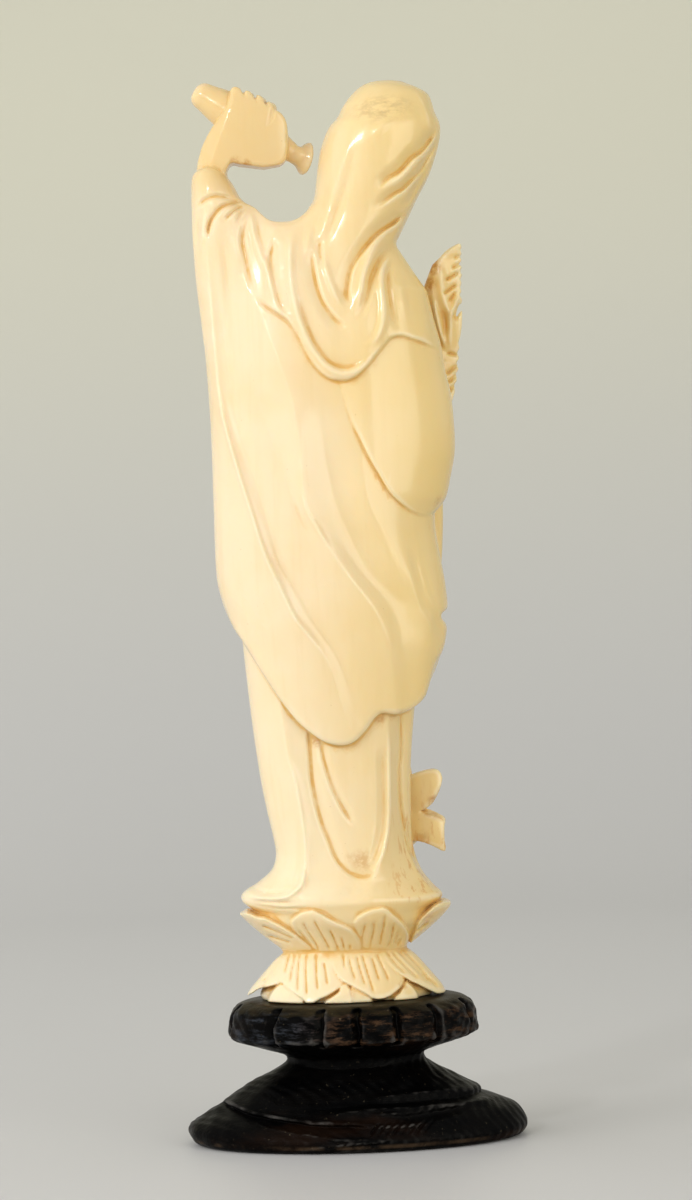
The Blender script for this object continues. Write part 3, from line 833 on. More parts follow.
LOWER_PETALS = [
    ([(14.3, 37.7), (18.2, 34.7), (22.8, 30), (22.8, 28.4), (21.1, 28.9), (20.1, 29.6), (19, 30.5),
     (17.8, 31), (16.6, 31.3), (15.7, 31.6), (14.5, 31.9), (13.7, 33.4), (13.7, 35.5), (12.8, 37.8)], 1,
     0, [[(15.3, 36), (16.9, 33.8), (18.2, 32)]]),
    ([(17.2, 28.4), (17.2, 29), (16.8, 30), (16.2, 30.9), (15.5, 31.8), (14.5, 32.6), (12.1, 32.1), (9.8,
     30.1), (9.5, 28.2)], 0.8, 0, []),
    ([(13.7, 37.9), (15.1, 36), (15.5, 34.7), (15.3, 33.3), (14.5, 32.2), (13.9, 31.9), (12.8, 31),
     (11.6, 30.1), (10.4, 29.4), (9.5, 28.4), (7.9, 28.4), (6.5, 29.2), (5.3, 29.7), (4.1, 30.3), (3.1,
     30.9), (2.5, 31.3), (1.5, 32.2), (1.4, 34.1), (2.5, 35.6), (3.7, 37.1), (4, 38.4)], 1, 0.04,
     [[(12.4, 37.6), (12.9, 36.1), (13.3, 34.8), (13.6, 34.1)], [(11.4, 38.1), (11.6, 36.3), (12.1,
     34.5), (12.5, 32.5)], [(10.4, 37.9), (10.7, 35.8), (10.9, 33.4), (11, 30.7)], [(9, 37.8), (9.3,
     35.3), (9.3, 32.7), (9.2, 30.1)], [(7.2, 38), (7.2, 35.8), (7.2, 33.4), (7, 31)], [(5.7, 36.5),
     (5.4, 34.5), (5.2, 33), (5.1, 31.9)]]),
    ([(6.3, 28.2), (5.7, 29.2), (4.1, 30.1), (3.1, 30.8), (2.5, 32.1), (1.3, 32.6), (0.3, 31.1), (0,
     29.2), (0.1, 28)], 0.8, 0, []),
    ([(1.4, 28.1), (1.4, 30), (0.3, 32), (-1.6, 31.4), (-3.9, 29.4), (-3.9, 27.9)], 0.66, 0, []),
    ([(5.4, 38.4), (4.9, 36.7), (4.3, 35.6), (3.8, 34.5), (3, 33.2), (2.1, 32.4), (0.7, 31.6), (-0.8,
     30.8), (-2.2, 30), (-3.5, 29), (-4.7, 28.7), (-6.1, 28.8), (-7.3, 29.2), (-8.3, 29.9), (-9.1, 30.4),
     (-9.9, 31.2), (-10.4, 32.1), (-10, 33.4), (-8.5, 35), (-7.4, 36.5), (-6.7, 37.8)], 1.04, 0.05,
     [[(1.9, 37.7), (1.7, 36.3), (1.5, 34.8)], [(0.7, 37.3), (0.5, 35.9), (0, 34.2), (-0.5, 32.7)],
     [(-0.9, 37.3), (-1.2, 35.6), (-1.7, 33.8), (-2.4, 31.7)], [(-1.9, 37.6), (-2.4, 35.7), (-3.1, 33.3),
     (-4, 30.1)], [(-3.8, 37.1), (-4.2, 35.7), (-4.7, 33.8), (-5.2, 32.3)], [(-4.8, 37.4), (-5.6, 35.6),
     (-6.3, 34.1), (-7, 32.2)]]),
    ([(-7.4, 28.2), (-7.9, 29.3), (-8.9, 30), (-9.7, 31.2), (-10.6, 32.3), (-11.7, 31.2), (-12.5, 30.1),
     (-13, 29.1), (-13, 27.7)], 0.72, 0, []),
    ([(-5.3, 37.9), (-6, 36.4), (-6.9, 35.3), (-7.9, 34.3), (-8.8, 33.3), (-10, 32.5), (-11.1, 31.7),
     (-12.7, 30.9), (-14.3, 29.9), (-15.6, 29.1), (-16.4, 28.6), (-17.7, 28.4), (-20.2, 28.1), (-17.4,
     33), (-11.9, 37.6)], 1, 0.06, [[(-6.7, 38), (-7.6, 36.5), (-8.9, 34.9), (-10.4, 33.5)], [(-7.8,
     37.7), (-9.2, 36), (-10.9, 34.2), (-12.8, 32.4)], [(-8.9, 38), (-10.4, 36.2), (-12.1, 34.4), (-14,
     32.4), (-15.3, 31)], [(-9.9, 37.8), (-11.6, 35.9), (-13.3, 34.1), (-14.4, 32.5), (-15.8, 31.1),
     (-16.7, 30)]]),
]


def lotus(grid):
    ring = Sheet(grid)
    flare = PETAL_REACH(ring.z) - PETAL_ROOT(ring.z)
    for outline, share, lean, grooves in UPPER_PETALS + LOWER_PETALS:
        inside = -outline_distance(ring.x, ring.z, np.array(outline))
        off_middle = ring.x - np.mean([x for x, _ in outline])
        carved = Sheet(grid)
        for path in grooves:
            carved.stroke(path, 0.66, -0.7, sharp=1.1, ends=0.9)
        carved.rise *= smoothstep(PETAL_REACH(ring.z) - np.abs(ring.x - LOTUS_MIDDLE), 0.4, 1.8)
        proud = share * flare + lean * off_middle - 0.01 * off_middle ** 2 + carved.rise
        ring.rise = np.maximum(ring.rise, proud * smoothstep(inside, -0.1, 0.45))
    span = grid.span((-22, -16, 27.5), (24.5, 16, 48))
    x, y, z = grid.at(span)
    dx, dy = x - LOTUS_MIDDLE, y / LOTUS_DEPTH
    from_middle = np.sqrt(dx * dx + dy * dy) + 1e-3
    lean = np.sqrt((dx / from_middle) ** 2 + (dy / from_middle / LOTUS_DEPTH) ** 2)
    reach = PETAL_ROOT(z) + ring.rise[span[0], None, span[2]]
    distance = ((from_middle - reach) / lean).astype(np.float32)
    distance /= np.sqrt(1 + np.minimum(np.gradient(distance, CELL, axis=2) ** 2, 9))
    distance = common(distance, (np.maximum(STAND_HEIGHT - z, z - 47.2) + 0 * distance).astype(np.float32), 0.3)
    grid.add(span, distance, 0.3)


FACE_CENTRE = np.array((-9.3, -4.4, 191.6))


def in_face(point):
    """A place in the block, from one given across, back and up from the middle of the face."""
    c, s = math.cos(HEAD_TILT), math.sin(HEAD_TILT)
    return FACE_CENTRE + (point[0] * c - point[2] * s, point[1], point[0] * s + point[2] * c)


def head(grid):
    def oval(point, radii, blend, cut=False):
        grid.place(ellipsoid(in_face(point), radii, HEAD_TILT), blend, cut)

    def line(points, blend, cut=False):
        placed = [(*in_face(p[:3]), p[3]) for p in points]
        grid.place(limb(placed), blend, cut)

    oval((0, -8.4, -1.4), (7.0, 7.6, 11.6), 1.4, cut=True)
    oval((0, 1.6, 2.6), (7.2, 7, 8.6), 0.4)
    line([(0.4, 1.6, -4, 3.7), (1.6, 1.8, -11, 3.8), (3.4, 2.4, -19, 5.4)], 1.2)
    oval((0, -0.2, 0.9), (5.7, 6.1, 6.4), 0.2)
    oval((0, -1.4, -3.4), (4.2, 4.5, 4.0), 2.0)
    for side in (-1, 1):
        oval((2.7 * side, -3.6, -1.3), (2.2, 2.2, 2.3), 1.4)
        oval((2.5 * side, -7.0, 0.75), (1.9, 1.15, 0.95), 0.9, cut=True)
        oval((2.45 * side, -4.75, 0.35), (1.55, 1.0, 0.78), 0.25)
        line([(1.1 * side, -5.95, 0.2, 0.12), (2.4 * side, -5.75, -0.12, 0.16),
              (3.9 * side, -4.75, 0.25, 0.12)], 0.25, cut=True)
        line([(0.9 * side, -5.9, 1.6, 0.25), (2.3 * side, -5.75, 2.25, 0.3), (4.1 * side, -4.4, 1.7, 0.2)], 0.7)
        oval((0.72 * side, -6.7, -1.55), (0.62, 0.7, 0.5), 0.35)
        line([(5.9 * side, 0.2, 1.5, 0.6), (6.3 * side, 0.4, -1.2, 0.8), (6.0 * side, 0.4, -4.2, 0.7)], 0.4)
    line([(0, -6.0, 2.0, 0.5), (0, -6.5, 0.3, 0.5), (0, -7.15, -1.35, 0.72)], 0.6)
    line([(-1.35, -5.45, -3.2, 0.2), (-0.5, -6.05, -3.0, 0.36), (0, -6.05, -3.1, 0.34), (0.5, -6.05, -3.0, 0.36),
          (1.35, -5.45, -3.2, 0.2)], 0.3)
    line([(-1.0, -5.4, -3.75, 0.25), (0, -5.85, -3.95, 0.48), (1.0, -5.4, -3.75, 0.25)], 0.3)
    oval((0, -5.0, -5.9), (1.5, 1.0, 1.1), 1.0)
    for i in range(9):
        across = (i - 4) * 1.45
        line([(across * 0.25, -5.2, 7.0, 0.5), (across * 0.8, -5.3 + 0.05 * across ** 2, 4.9, 0.55),
              (across, -4.6 + 0.09 * across ** 2, 3.6 - 0.05 * across ** 2, 0.5)], 0.3)
    line([(-5.6, -2.6, 4.4, 0.5), (-3, -5.3, 5.6, 0.55), (0, -6.1, 6.1, 0.6), (3, -5.3, 5.6, 0.55),
          (5.6, -2.6, 4.4, 0.5)], 0.2)
    oval((0, -6.6, 6.8), (1.1, 0.6, 1.4), 0.2)
    for side in (-1, 1):
        oval((1.8 * side, -6.2, 6.4), (0.7, 0.5, 0.9), 0.2)


CLOAK_FRONT_STROKES = [
    ([(-13.4, 178), (-10, 168), (-5, 158), (0, 149), (4.6, 141), (6.4, 133)], 0.9, 0.7,
     {"sharp": 1.3, "ends": 2, "lip": 3}),
    ([(3.4, 178), (2, 168), (-0.6, 158), (-3.4, 150)], 0.9, 0.7, {"sharp": 1.3, "ends": 2, "lip": -3}),
    ([(-12.6, 178), (-9, 168), (-4, 158), (1, 149), (5.4, 141)], 0.5, -0.4, {"ends": 2}),
    ([(13.2, 178), (12.4, 160), (12.8, 140), (13.4, 120), (13.2, 104)], 0.9, 0.6,
     {"sharp": 1.3, "ends": 4, "lip": 3}),
    ([(12, 174), (11.2, 158), (11.6, 140), (12.2, 120), (12, 104)], 1.2, -0.9, {"ends": 4}),
    ([(-2, 120), (-1, 108), (2, 98), (6, 92)], 1.3, -0.7, {"ends": 5}),
    ([(9, 120), (8, 108), (4, 100), (-1, 96)], 1.3, -0.6, {"ends": 5}),
]


def necklace(grid):
    """A string of beads half sunk in the chest, with a pendant."""
    beads = 19
    places = []
    for i in range(beads):
        t = 2 * i / (beads - 1) - 1
        x, z = -4.6 + 8.6 * t, 162 + 14 * t * t
        column = grid.field[round((x - grid.axes[0][0]) / CELL), :, round((z - grid.axes[2][0]) / CELL)]
        places.append((x, float(grid.axes[1][np.argmax(column < 0)]) - 0.35, z))
    for place in places:
        grid.place(ellipsoid(place, (0.85, 0.85, 0.85)), 0.15)
    grid.place(ellipsoid((-4.6, -13.6, 159.4), (1.5, 0.8, 1.9)), 0.2)


def front_dress(grid):
    """The sash with its knot, and the tips of the shoes."""
    for z, depth in ((131.6, -13.6), (129, -14), (126.4, -13.8)):
        grid.place(limb([(-15, -8.6, z + 0.4, 1.1), (-9, depth + 1.6, z, 1.5), (0, depth, z - 0.3, 1.5),
                         (9, depth + 1.6, z, 1.5), (13.6, -9.4, z + 0.4, 1.1)]), 0.5)
    grid.place(ellipsoid((-3.4, -15.6, 128.8), (2.4, 1.6, 2.9)), 0.4)
    for x in (-4, 6.6):
        grid.place(ellipsoid((x, -12.4, 48.4), (3, 3.4, 1.7)), 0.6)
        grid.place(limb([(x - 2, -15, 48.8, 0.3), (x, -15.6, 49.3, 0.35), (x + 2, -15, 48.8, 0.3)]), 0.2)


def carving():
    grid = Grid((-28.6, -19.6, 27.4), (28.6, 16.8, 213.4))
    front = cloak(grid)
    skirt(grid)
    arm_sleeve(grid)
    veil(grid, front)
    shoulder_folds(grid)
    raised_hand(grid)
    head(grid)
    necklace(grid)
    spray(grid)
    resting_arm(grid)
    bow(grid)
    lotus(grid)
    front_dress(grid)
    return grid


# The wooden stand: a notched oval plate on a waist above a spreading, terraced foot.
STAND_FOOT = {
    "left": through((0, 32.4), (1, 33.2), (2.6, BASE_HALF_WIDTH - 0.2), (4.2, 33.5), (5.6, 31.4), (8.2, 27.2),
                    (12, 21.4), (14.6, 16), (15.9, 14), (18, 13.5)),
    "right": through((0, -32.8), (2, 0.2 - BASE_HALF_WIDTH), (4.2, -33.3), (6.1, -31.8), (7.4, -29), (8.3, -26.6),
                     (8.6, -25.2), (9.7, -24.6), (12, -20.6), (15.5, -14.4), (18, -13.7)),
    "back": through((0, 20.6), (2.2, BASE_HALF_DEPTH - 0.6), (4.4, 20.2), (8, 16.4), (12, 13), (15.6, 10.4), (18, 10)),
    "front": through((0, -21), (2.2, -BASE_HALF_DEPTH), (4.4, -20.4), (8, -16.4), (12, -13), (15.6, -10.4),
                     (18, -10)),
}
STAND_PLATE = {
    "left": through((16, 13.2), (17.4, 14.6), (20.6, 24.6), (21.4, 25.6), (23, 25.4), (26.2, 24.8), (27.4, 23.8),
                    (28.2, 22), (STAND_HEIGHT, 20)),
    "right": through((16, -13.4), (17.4, -14.4), (20.6, -24), (21.4, -24.8), (23, -24.8), (26.2, -24.2),
                     (27.4, -23.2), (28.2, -21.4), (STAND_HEIGHT, -19.6)),
    "back": through((16, 10), (17.4, 11), (20.8, 19.2), (21.4, 19.9), (26.2, 19.2), (27.4, 18), (28.2, 16),
                    (STAND_HEIGHT, 14.4)),
    "front": through((16, -10), (17.4, -11), (20.8, -19.2), (21.4, -19.9), (26.2, -19.2), (27.4, -18),
                     (28.2, -16), (STAND_HEIGHT, -14.4)),
}
STAND_STROKES = [
    ([(27.8, 8.1), (24.9, 7.9), (22.8, 7.4), (20.8, 6.8), (18.8, 6.6), (16.9, 6.3), (14.9, 6.1), (12.9,
     5.8), (11, 5.6), (9, 5.3), (6.5, 5.2), (3.6, 5.1), (0.7, 5), (-2.2, 4.7)], 0.6, -0.9, {"sharp": 1.3,
     "ends": 3, "lip": 3}),
    ([(27.8, 8.7), (24.9, 8.4), (22.8, 7.8), (20.8, 7.3), (18.8, 7), (16.9, 6.8), (14.9, 6.5), (12.9,
     6.3), (11, 6.1), (9, 5.8), (6.5, 5.7), (3.6, 5.6), (0.7, 5.5), (-2.3, 5.2)], 0.9, 0.35,
     {"sharp": 1.2, "ends": 4}),
    ([(21.2, 6.3), (19.6, 5.7), (17.7, 5.1), (15.3, 4.6), (12.4, 4.1), (9.5, 3.8), (4.6, 3), (1.7, 2.8),
     (-4.1, 2.8)], 0.5, 0.4, {"sharp": 1.2, "ends": 4}),
    ([(11.5, 0.8), (7.6, 1.4), (2.7, 1.9), (-2.1, 2.1), (-5.6, 2.5)], 0.5, 0.45, {"sharp": 1.2,
     "ends": 3}),
    ([(8, 0.1), (3.7, 1.1), (-0.6, 1.6), (-5, 1.8)], 0.5, -0.4, {"sharp": 1.2, "ends": 3}),
    ([(-25.9, 10), (-21.3, 10.3), (-18.3, 10.5), (-15.3, 10.6), (-12.3, 10.5), (-9.4, 10.5), (-6.4,
     10.3), (-2.8, 10)], 0.5, 0.5, {"sharp": 1.2, "ends": 4, "lip": -2}),
    ([(-28.4, 7.7), (-24.2, 8.2), (-19.1, 8), (-16.2, 8.3), (-13.2, 8.2), (-10.2, 8.2), (-7.3, 8.2),
     (-4.3, 8.2), (-0.4, 8), (2.5, 7.7), (6.4, 7.3)], 0.6, 0.7, {"sharp": 1.2, "ends": 4, "lip": -2.4}),
    ([(-22, 7), (-18, 6.7), (-14, 6.3), (-9.1, 5.9), (-5.2, 5.8)], 1.2, -0.5, {"ends": 4}),
    ([(-8.6, 7.1), (-5.3, 7.1), (-1.9, 7.1)], 0.4, 0.25, {"ends": 2}),
    ([(11.2, 15.4), (5.2, 15.1), (-0.7, 15.2), (-6.6, 15.4)], 0.5, -0.25, {"ends": 3}),
    ([(-3.2, 5), (-8.1, 4.9), (-12.8, 5.1)], 0.5, 0.35, {"ends": 2}),
]
# Where the rim is notched, in degrees from the left side round the back.
RIM_NOTCHES = (8, 48.6, 74, 91.3, 110.8, 132.5, 163, 190, 211, 231, 252, 270, 289, 309, 330, 350)


def stand():
    grid = Grid((-35.4, -23.2, -1.2), (35.4, 23.2, 29.8))
    carved = Sheet(grid).strokes(STAND_STROKES)
    for i in range(8):
        x = -2 - 1.5 * i
        carved.stroke([(x, 3.2), (x - 1, 4.4), (x - 2.4, 5.6)], 0.4, -0.45 if i % 3 else -0.7, sharp=1.2, ends=0.8)
    for i in range(7):
        x = 5 - 1.6 * i
        carved.stroke([(x, 1.2), (x - 1.3, 2.3)], 0.4, -0.35, sharp=1.2, ends=0.6)
    everywhere = grid.span((-36, -24, -2), (36, 24, 30))
    x, y, z = grid.at(everywhere)
    foot = body(grid, everywhere, STAND_FOOT, carved, None, power=2.0)
    grid.field = common(foot, (np.maximum(-z, z - 17.4) + 0 * foot).astype(np.float32), 0.8)
    plate = body(grid, everywhere, STAND_PLATE, power=2.0)
    turn = np.arctan2(y / 19.6, x / 25.2)
    around = np.hypot(25.2 * np.sin(turn), 19.6 * np.cos(turn))
    rim = smoothstep(z, 20.2, 20.9) * (1 - smoothstep(z, 27.0, 28.0))
    cut = 0 * turn
    for i, degrees in enumerate(RIM_NOTCHES):
        off = (turn - math.radians(degrees) + math.pi) % math.tau - math.pi
        off = off * around + 0.15 * np.sin(z * 1.3 + 2 * i)
        wall = np.minimum((off + 1.35) / 1.5, (0.85 - off) / 0.45)
        cut = np.maximum(cut, (1.3 + 0.2 * math.sin(2.3 * i)) * np.clip(wall, 0, 1) ** 0.8)
        cut = cut - 0.14 * np.clip(1 - np.abs(off - 1.1) / 0.5, 0, 1)
    chopped = 0.14 * np.sin(turn * 7.3 + 1.1 * np.sin(z)) + 0.09 * np.sin(turn * 31 + z * 1.9)
    plate = plate + (rim * (cut + 0.2 + chopped)).astype(np.float32)
    plate = common(plate, (np.maximum(16 - z, z - STAND_HEIGHT) + 0 * plate).astype(np.float32), 0.5)
    grid.field = union(grid.field, plate, 0.6)
    hewn = 0.10 * np.sin(x * 0.9 + 2.1 * np.sin(z * 0.5)) * np.sin(y * 0.7 + 1.3 * np.sin(x * 0.35)) \
        + 0.05 * np.sin(x * 2.3 + y * 1.7 + 3 * np.sin(z * 0.8))
    top = smoothstep(z, 26.4, 27.4) + (1 - smoothstep(z, 0.2, 1.2))
    grid.field += (0.12 + hewn * (1 - np.clip(top, 0, 1))).astype(np.float32)
    return grid


# Making a mesh of a field.

def sampled(grid, field, points):
    """The field between its cells' corners, at points."""
    low = np.array([axis[0] for axis in grid.axes])
    places = (points - low) / CELL
    corner = np.clip(np.floor(places).astype(int), 0, np.array(field.shape) - 2)
    t = np.clip(places - corner, 0, 1)
    total = 0
    for i in (0, 1):
        for j in (0, 1):
            for k in (0, 1):
                weight = (t[:, 0] if i else 1 - t[:, 0]) * (t[:, 1] if j else 1 - t[:, 1]) \
                    * (t[:, 2] if k else 1 - t[:, 2])
                total = total + weight * field[corner[:, 0] + i, corner[:, 1] + j, corner[:, 2] + k]
    return total


def gradient(grid, points, step=0.6):
    ways = np.eye(3) * step * CELL
    return np.stack([sampled(grid, grid.field, points + way) - sampled(grid, grid.field, points - way)
                     for way in ways], axis=1) / (2 * step * CELL)


def surface(grid):
    """The points and four-sided faces of the surface where the field is nothing."""
    field = grid.field
    solid = field < 0
    marked = np.zeros([n - 1 for n in field.shape], bool)
    edges = []
    for axis in range(3):
        across, up = (axis + 1) % 3, (axis + 2) % 3
        near = [slice(None)] * 3
        far = [slice(None)] * 3
        near[axis], far[axis] = slice(None, -1), slice(1, None)
        starts = np.argwhere(solid[tuple(near)] != solid[tuple(far)])
        inner = (starts[:, across] > 0) & (starts[:, across] < field.shape[across] - 1) \
            & (starts[:, up] > 0) & (starts[:, up] < field.shape[up] - 1)
        starts = starts[inner]
        ends = starts.copy()
        ends[:, axis] += 1
        a, b = field[tuple(starts.T)], field[tuple(ends.T)]
        crossing = starts.astype(float)
        crossing[:, axis] += a / (a - b)
        cells = []
        for back, down in ((1, 1), (0, 1), (0, 0), (1, 0)):
            cell = starts.copy()
            cell[:, across] -= back
            cell[:, up] -= down
            marked[tuple(cell.T)] = True
            cells.append(cell)
        edges.append((cells, crossing, solid[tuple(starts.T)]))
    number = np.full(marked.shape, -1, np.int64)
    number[marked] = np.arange(marked.sum())
    total = np.zeros((marked.sum(), 3))
    count = np.zeros(marked.sum())
    faces = []
    for cells, crossing, outward in edges:
        corners = np.stack([number[tuple(cell.T)] for cell in cells], axis=1)
        for column in corners.T:
            count += np.bincount(column, minlength=len(count))
            for k in range(3):
                total[:, k] += np.bincount(column, weights=crossing[:, k], minlength=len(count))
        faces.append(np.where(outward[:, None], corners, corners[:, ::-1]))
    low = np.array([axis[0] for axis in grid.axes])
    points = low + CELL * total / count[:, None]
    for _ in range(2):
        slope = gradient(grid, points)
        step = sampled(grid, field, points)[:, None] * slope / np.maximum((slope ** 2).sum(axis=1), 0.05)[:, None]
        points = points - np.clip(step, -0.4 * CELL, 0.4 * CELL)
    return points, np.concatenate(faces)


def blurred(solid, radius):
    """The share of solid within about a radius, worked out by averaging along each way in turn."""
    n = max(int(round(radius / CELL)), 1)
    for _ in range(2):
        for axis in range(3):
            pad = [(0, 0)] * 3
            pad[axis] = (n + 1, n)
            run = np.cumsum(np.pad(solid, pad, mode="edge"), axis=axis, dtype=np.float32)
            high = [slice(None)] * 3
            low = [slice(None)] * 3
            high[axis], low[axis] = slice(2 * n + 1, None), slice(None, -2 * n - 1)
            solid = (run[tuple(high)] - run[tuple(low)]) / (2 * n + 1)
    return solid


def carved_mesh(name, grid, most, scales):
    """A mesh of a field with no more than a number of triangles. It carries how hollow or how
    proud each place is, at several scales: half is flat, more is hollow."""
    points, faces = surface(grid)
    made = bpy.data.meshes.new(name)
    made.vertices.add(len(points))
    made.vertices.foreach_set("co", (points * MM).ravel())
    made.loops.add(faces.size)
    made.loops.foreach_set("vertex_index", faces.ravel())
    made.polygons.add(len(faces))
    made.polygons.foreach_set("loop_start", np.arange(0, faces.size, 4))
    made.update(calc_edges=True)
    piece = bpy.data.objects.new(name, made)
    bpy.context.scene.collection.objects.link(piece)
    thin = piece.modifiers.new("thin", "DECIMATE")
    thin.ratio = min(1.0, most / (2 * len(faces)))
    thin.use_collapse_triangulate = True
    reduced = bpy.data.meshes.new_from_object(piece.evaluated_get(bpy.context.evaluated_depsgraph_get()))
    piece.modifiers.clear()
    piece.data = reduced
    bpy.data.meshes.remove(made)
    reduced.name = name

    at = np.empty(len(reduced.vertices) * 3)
    reduced.vertices.foreach_get("co", at)
    at = at.reshape(-1, 3) / MM
    normals = gradient(grid, at)
    normals /= np.maximum(np.linalg.norm(normals, axis=1), 1e-6)[:, None]
    on_surface = at - np.clip(sampled(grid, grid.field, at), -0.2, 0.2)[:, None] * normals
    solid = np.clip(0.5 - grid.field / CELL, 0, 1).astype(np.float32)
    for label, radius in scales:
        values = sampled(grid, blurred(solid, radius), on_surface)
        reduced.attributes.new(label, "FLOAT", "POINT").data.foreach_set("value", values.astype(np.float32))
    reduced.polygons.foreach_set("use_smooth", np.ones(len(reduced.polygons), bool))
    reduced.normals_split_custom_set_from_vertices(normals)
    return piece


# Materials. Every colour is worked out from places on the object itself.

class Nodes:
    """A material's node tree, with short ways to add what is needed."""

    def __init__(self, name):
        self.material = bpy.data.materials.new(name)
        self.material.use_nodes = True
        self.tree = self.material.node_tree
        self.tree.nodes.clear()
        self.shader = self.tree.nodes.new("ShaderNodeBsdfPrincipled")
        output = self.tree.nodes.new("ShaderNodeOutputMaterial")
        self.tree.links.new(self.shader.outputs[0], output.inputs[0])
        self.place = self.tree.nodes.new("ShaderNodeTexCoord").outputs["Object"]

    def node(self, kind, *inputs, **settings):
        node = self.tree.nodes.new(kind)
        for key, value in settings.items():
            setattr(node, key, value)
        for socket, value in zip(node.inputs, inputs):
            if isinstance(value, bpy.types.NodeSocket):
                self.tree.links.new(value, socket)
            elif value is not None:
                socket.default_value = value
        return node

    def math(self, operation, a, b=0.0, clamp=False):
        return self.node("ShaderNodeMath", a, b, operation=operation, use_clamp=clamp).outputs[0]

    def noise(self, scale, detail=3.0, rough=0.55, stretch=(1, 1, 1)):
        placed = self.node("ShaderNodeMapping", self.place)
        placed.inputs["Scale"].default_value = stretch
        noise = self.node("ShaderNodeTexNoise", placed.outputs[0])
        noise.inputs["Scale"].default_value = scale
        noise.inputs["Detail"].default_value = detail
        noise.inputs["Roughness"].default_value = rough
        return noise.outputs[0]

    def range(self, value, low, high, to_low=0.0, to_high=1.0):
        node = self.node("ShaderNodeMapRange", value, low, high, to_low, to_high, interpolation_type="SMOOTHSTEP")
        return node.outputs[0]

    def value(self, name):
        return self.node("ShaderNodeAttribute", attribute_name=name).outputs["Fac"]

    def mix(self, share, a, b):
        node = self.node("ShaderNodeMix", data_type="RGBA")
        for socket, value in zip((node.inputs[0], node.inputs[6], node.inputs[7]), (share, a, b)):
            if isinstance(value, bpy.types.NodeSocket):
                self.tree.links.new(value, socket)
            else:
                socket.default_value = value if isinstance(value, float) else (*value, 1)
        return node.outputs[2]

    def bump(self, height, distance, strength=1.0, normal=None):
        node = self.node("ShaderNodeBump")
        node.inputs["Strength"].default_value = strength
        node.inputs["Distance"].default_value = distance
        self.tree.links.new(height, node.inputs["Height"])
        if normal is not None:
            self.tree.links.new(normal, node.inputs["Normal"])
        return node.outputs[0]

    def feed(self, **inputs):
        for name, value in inputs.items():
            socket = self.shader.inputs[name.replace("_", " ")]
            if isinstance(value, bpy.types.NodeSocket):
                self.tree.links.new(value, socket)
            else:
                socket.default_value = value


# Places where dirt has gathered: the middle in millimetres, the radius, and how dark it is.
STAINS = [
    (-17.3, -5, 66.6, 1.6, 0.9), (-17.4, -6.5, 63.4, 2, 0.55), (-16.2, -6, 64.1, 1.6, 0.6),
    (-14.8, -6, 59.1, 2.6, 0.6), (6.1, 10.5, 79.9, 1.8, 0.8), (-2.5, 11, 56.2, 3.2, 0.55),
    (-0.2, 11, 56.8, 2, 0.4), (-20.1, -5, 170.7, 2.6, 0.95), (-21.2, -5, 173.8, 2.8, 0.95),
    (-22.3, -6, 175.9, 1.6, 0.7), (21.7, 2, 195.2, 1.4, 0.6), (-11.4, 9, 84.2, 2.4, 0.55),
    (-7, 10, 84.1, 1.8, 0.6), (-17.6, 3, 47.9, 1.3, 0.9), (-14.8, 7, 44.9, 2.4, 0.55),
    (-12.5, 8, 41.9, 1.8, 0.5), (18.2, 6, 29.9, 2.6, 0.8), (-9.9, 10, 31.4, 1.4, 0.6),
    (4.3, 11, 29, 1.6, 0.6), (0.4, 12, 29.8, 1.6, 0.45), (-20.7, 6, 126.2, 2, 0.6),
    (-19.5, 6, 121.5, 1.6, 0.6), (-15, 8, 51.7, 3, 0.5), (-12.3, 8, 57.4, 1.6, 0.5),
    (17.6, 4.1, 195.4, 1.7, 0.9), (15.6, 4.1, 194.9, 1.5, 0.9),
]


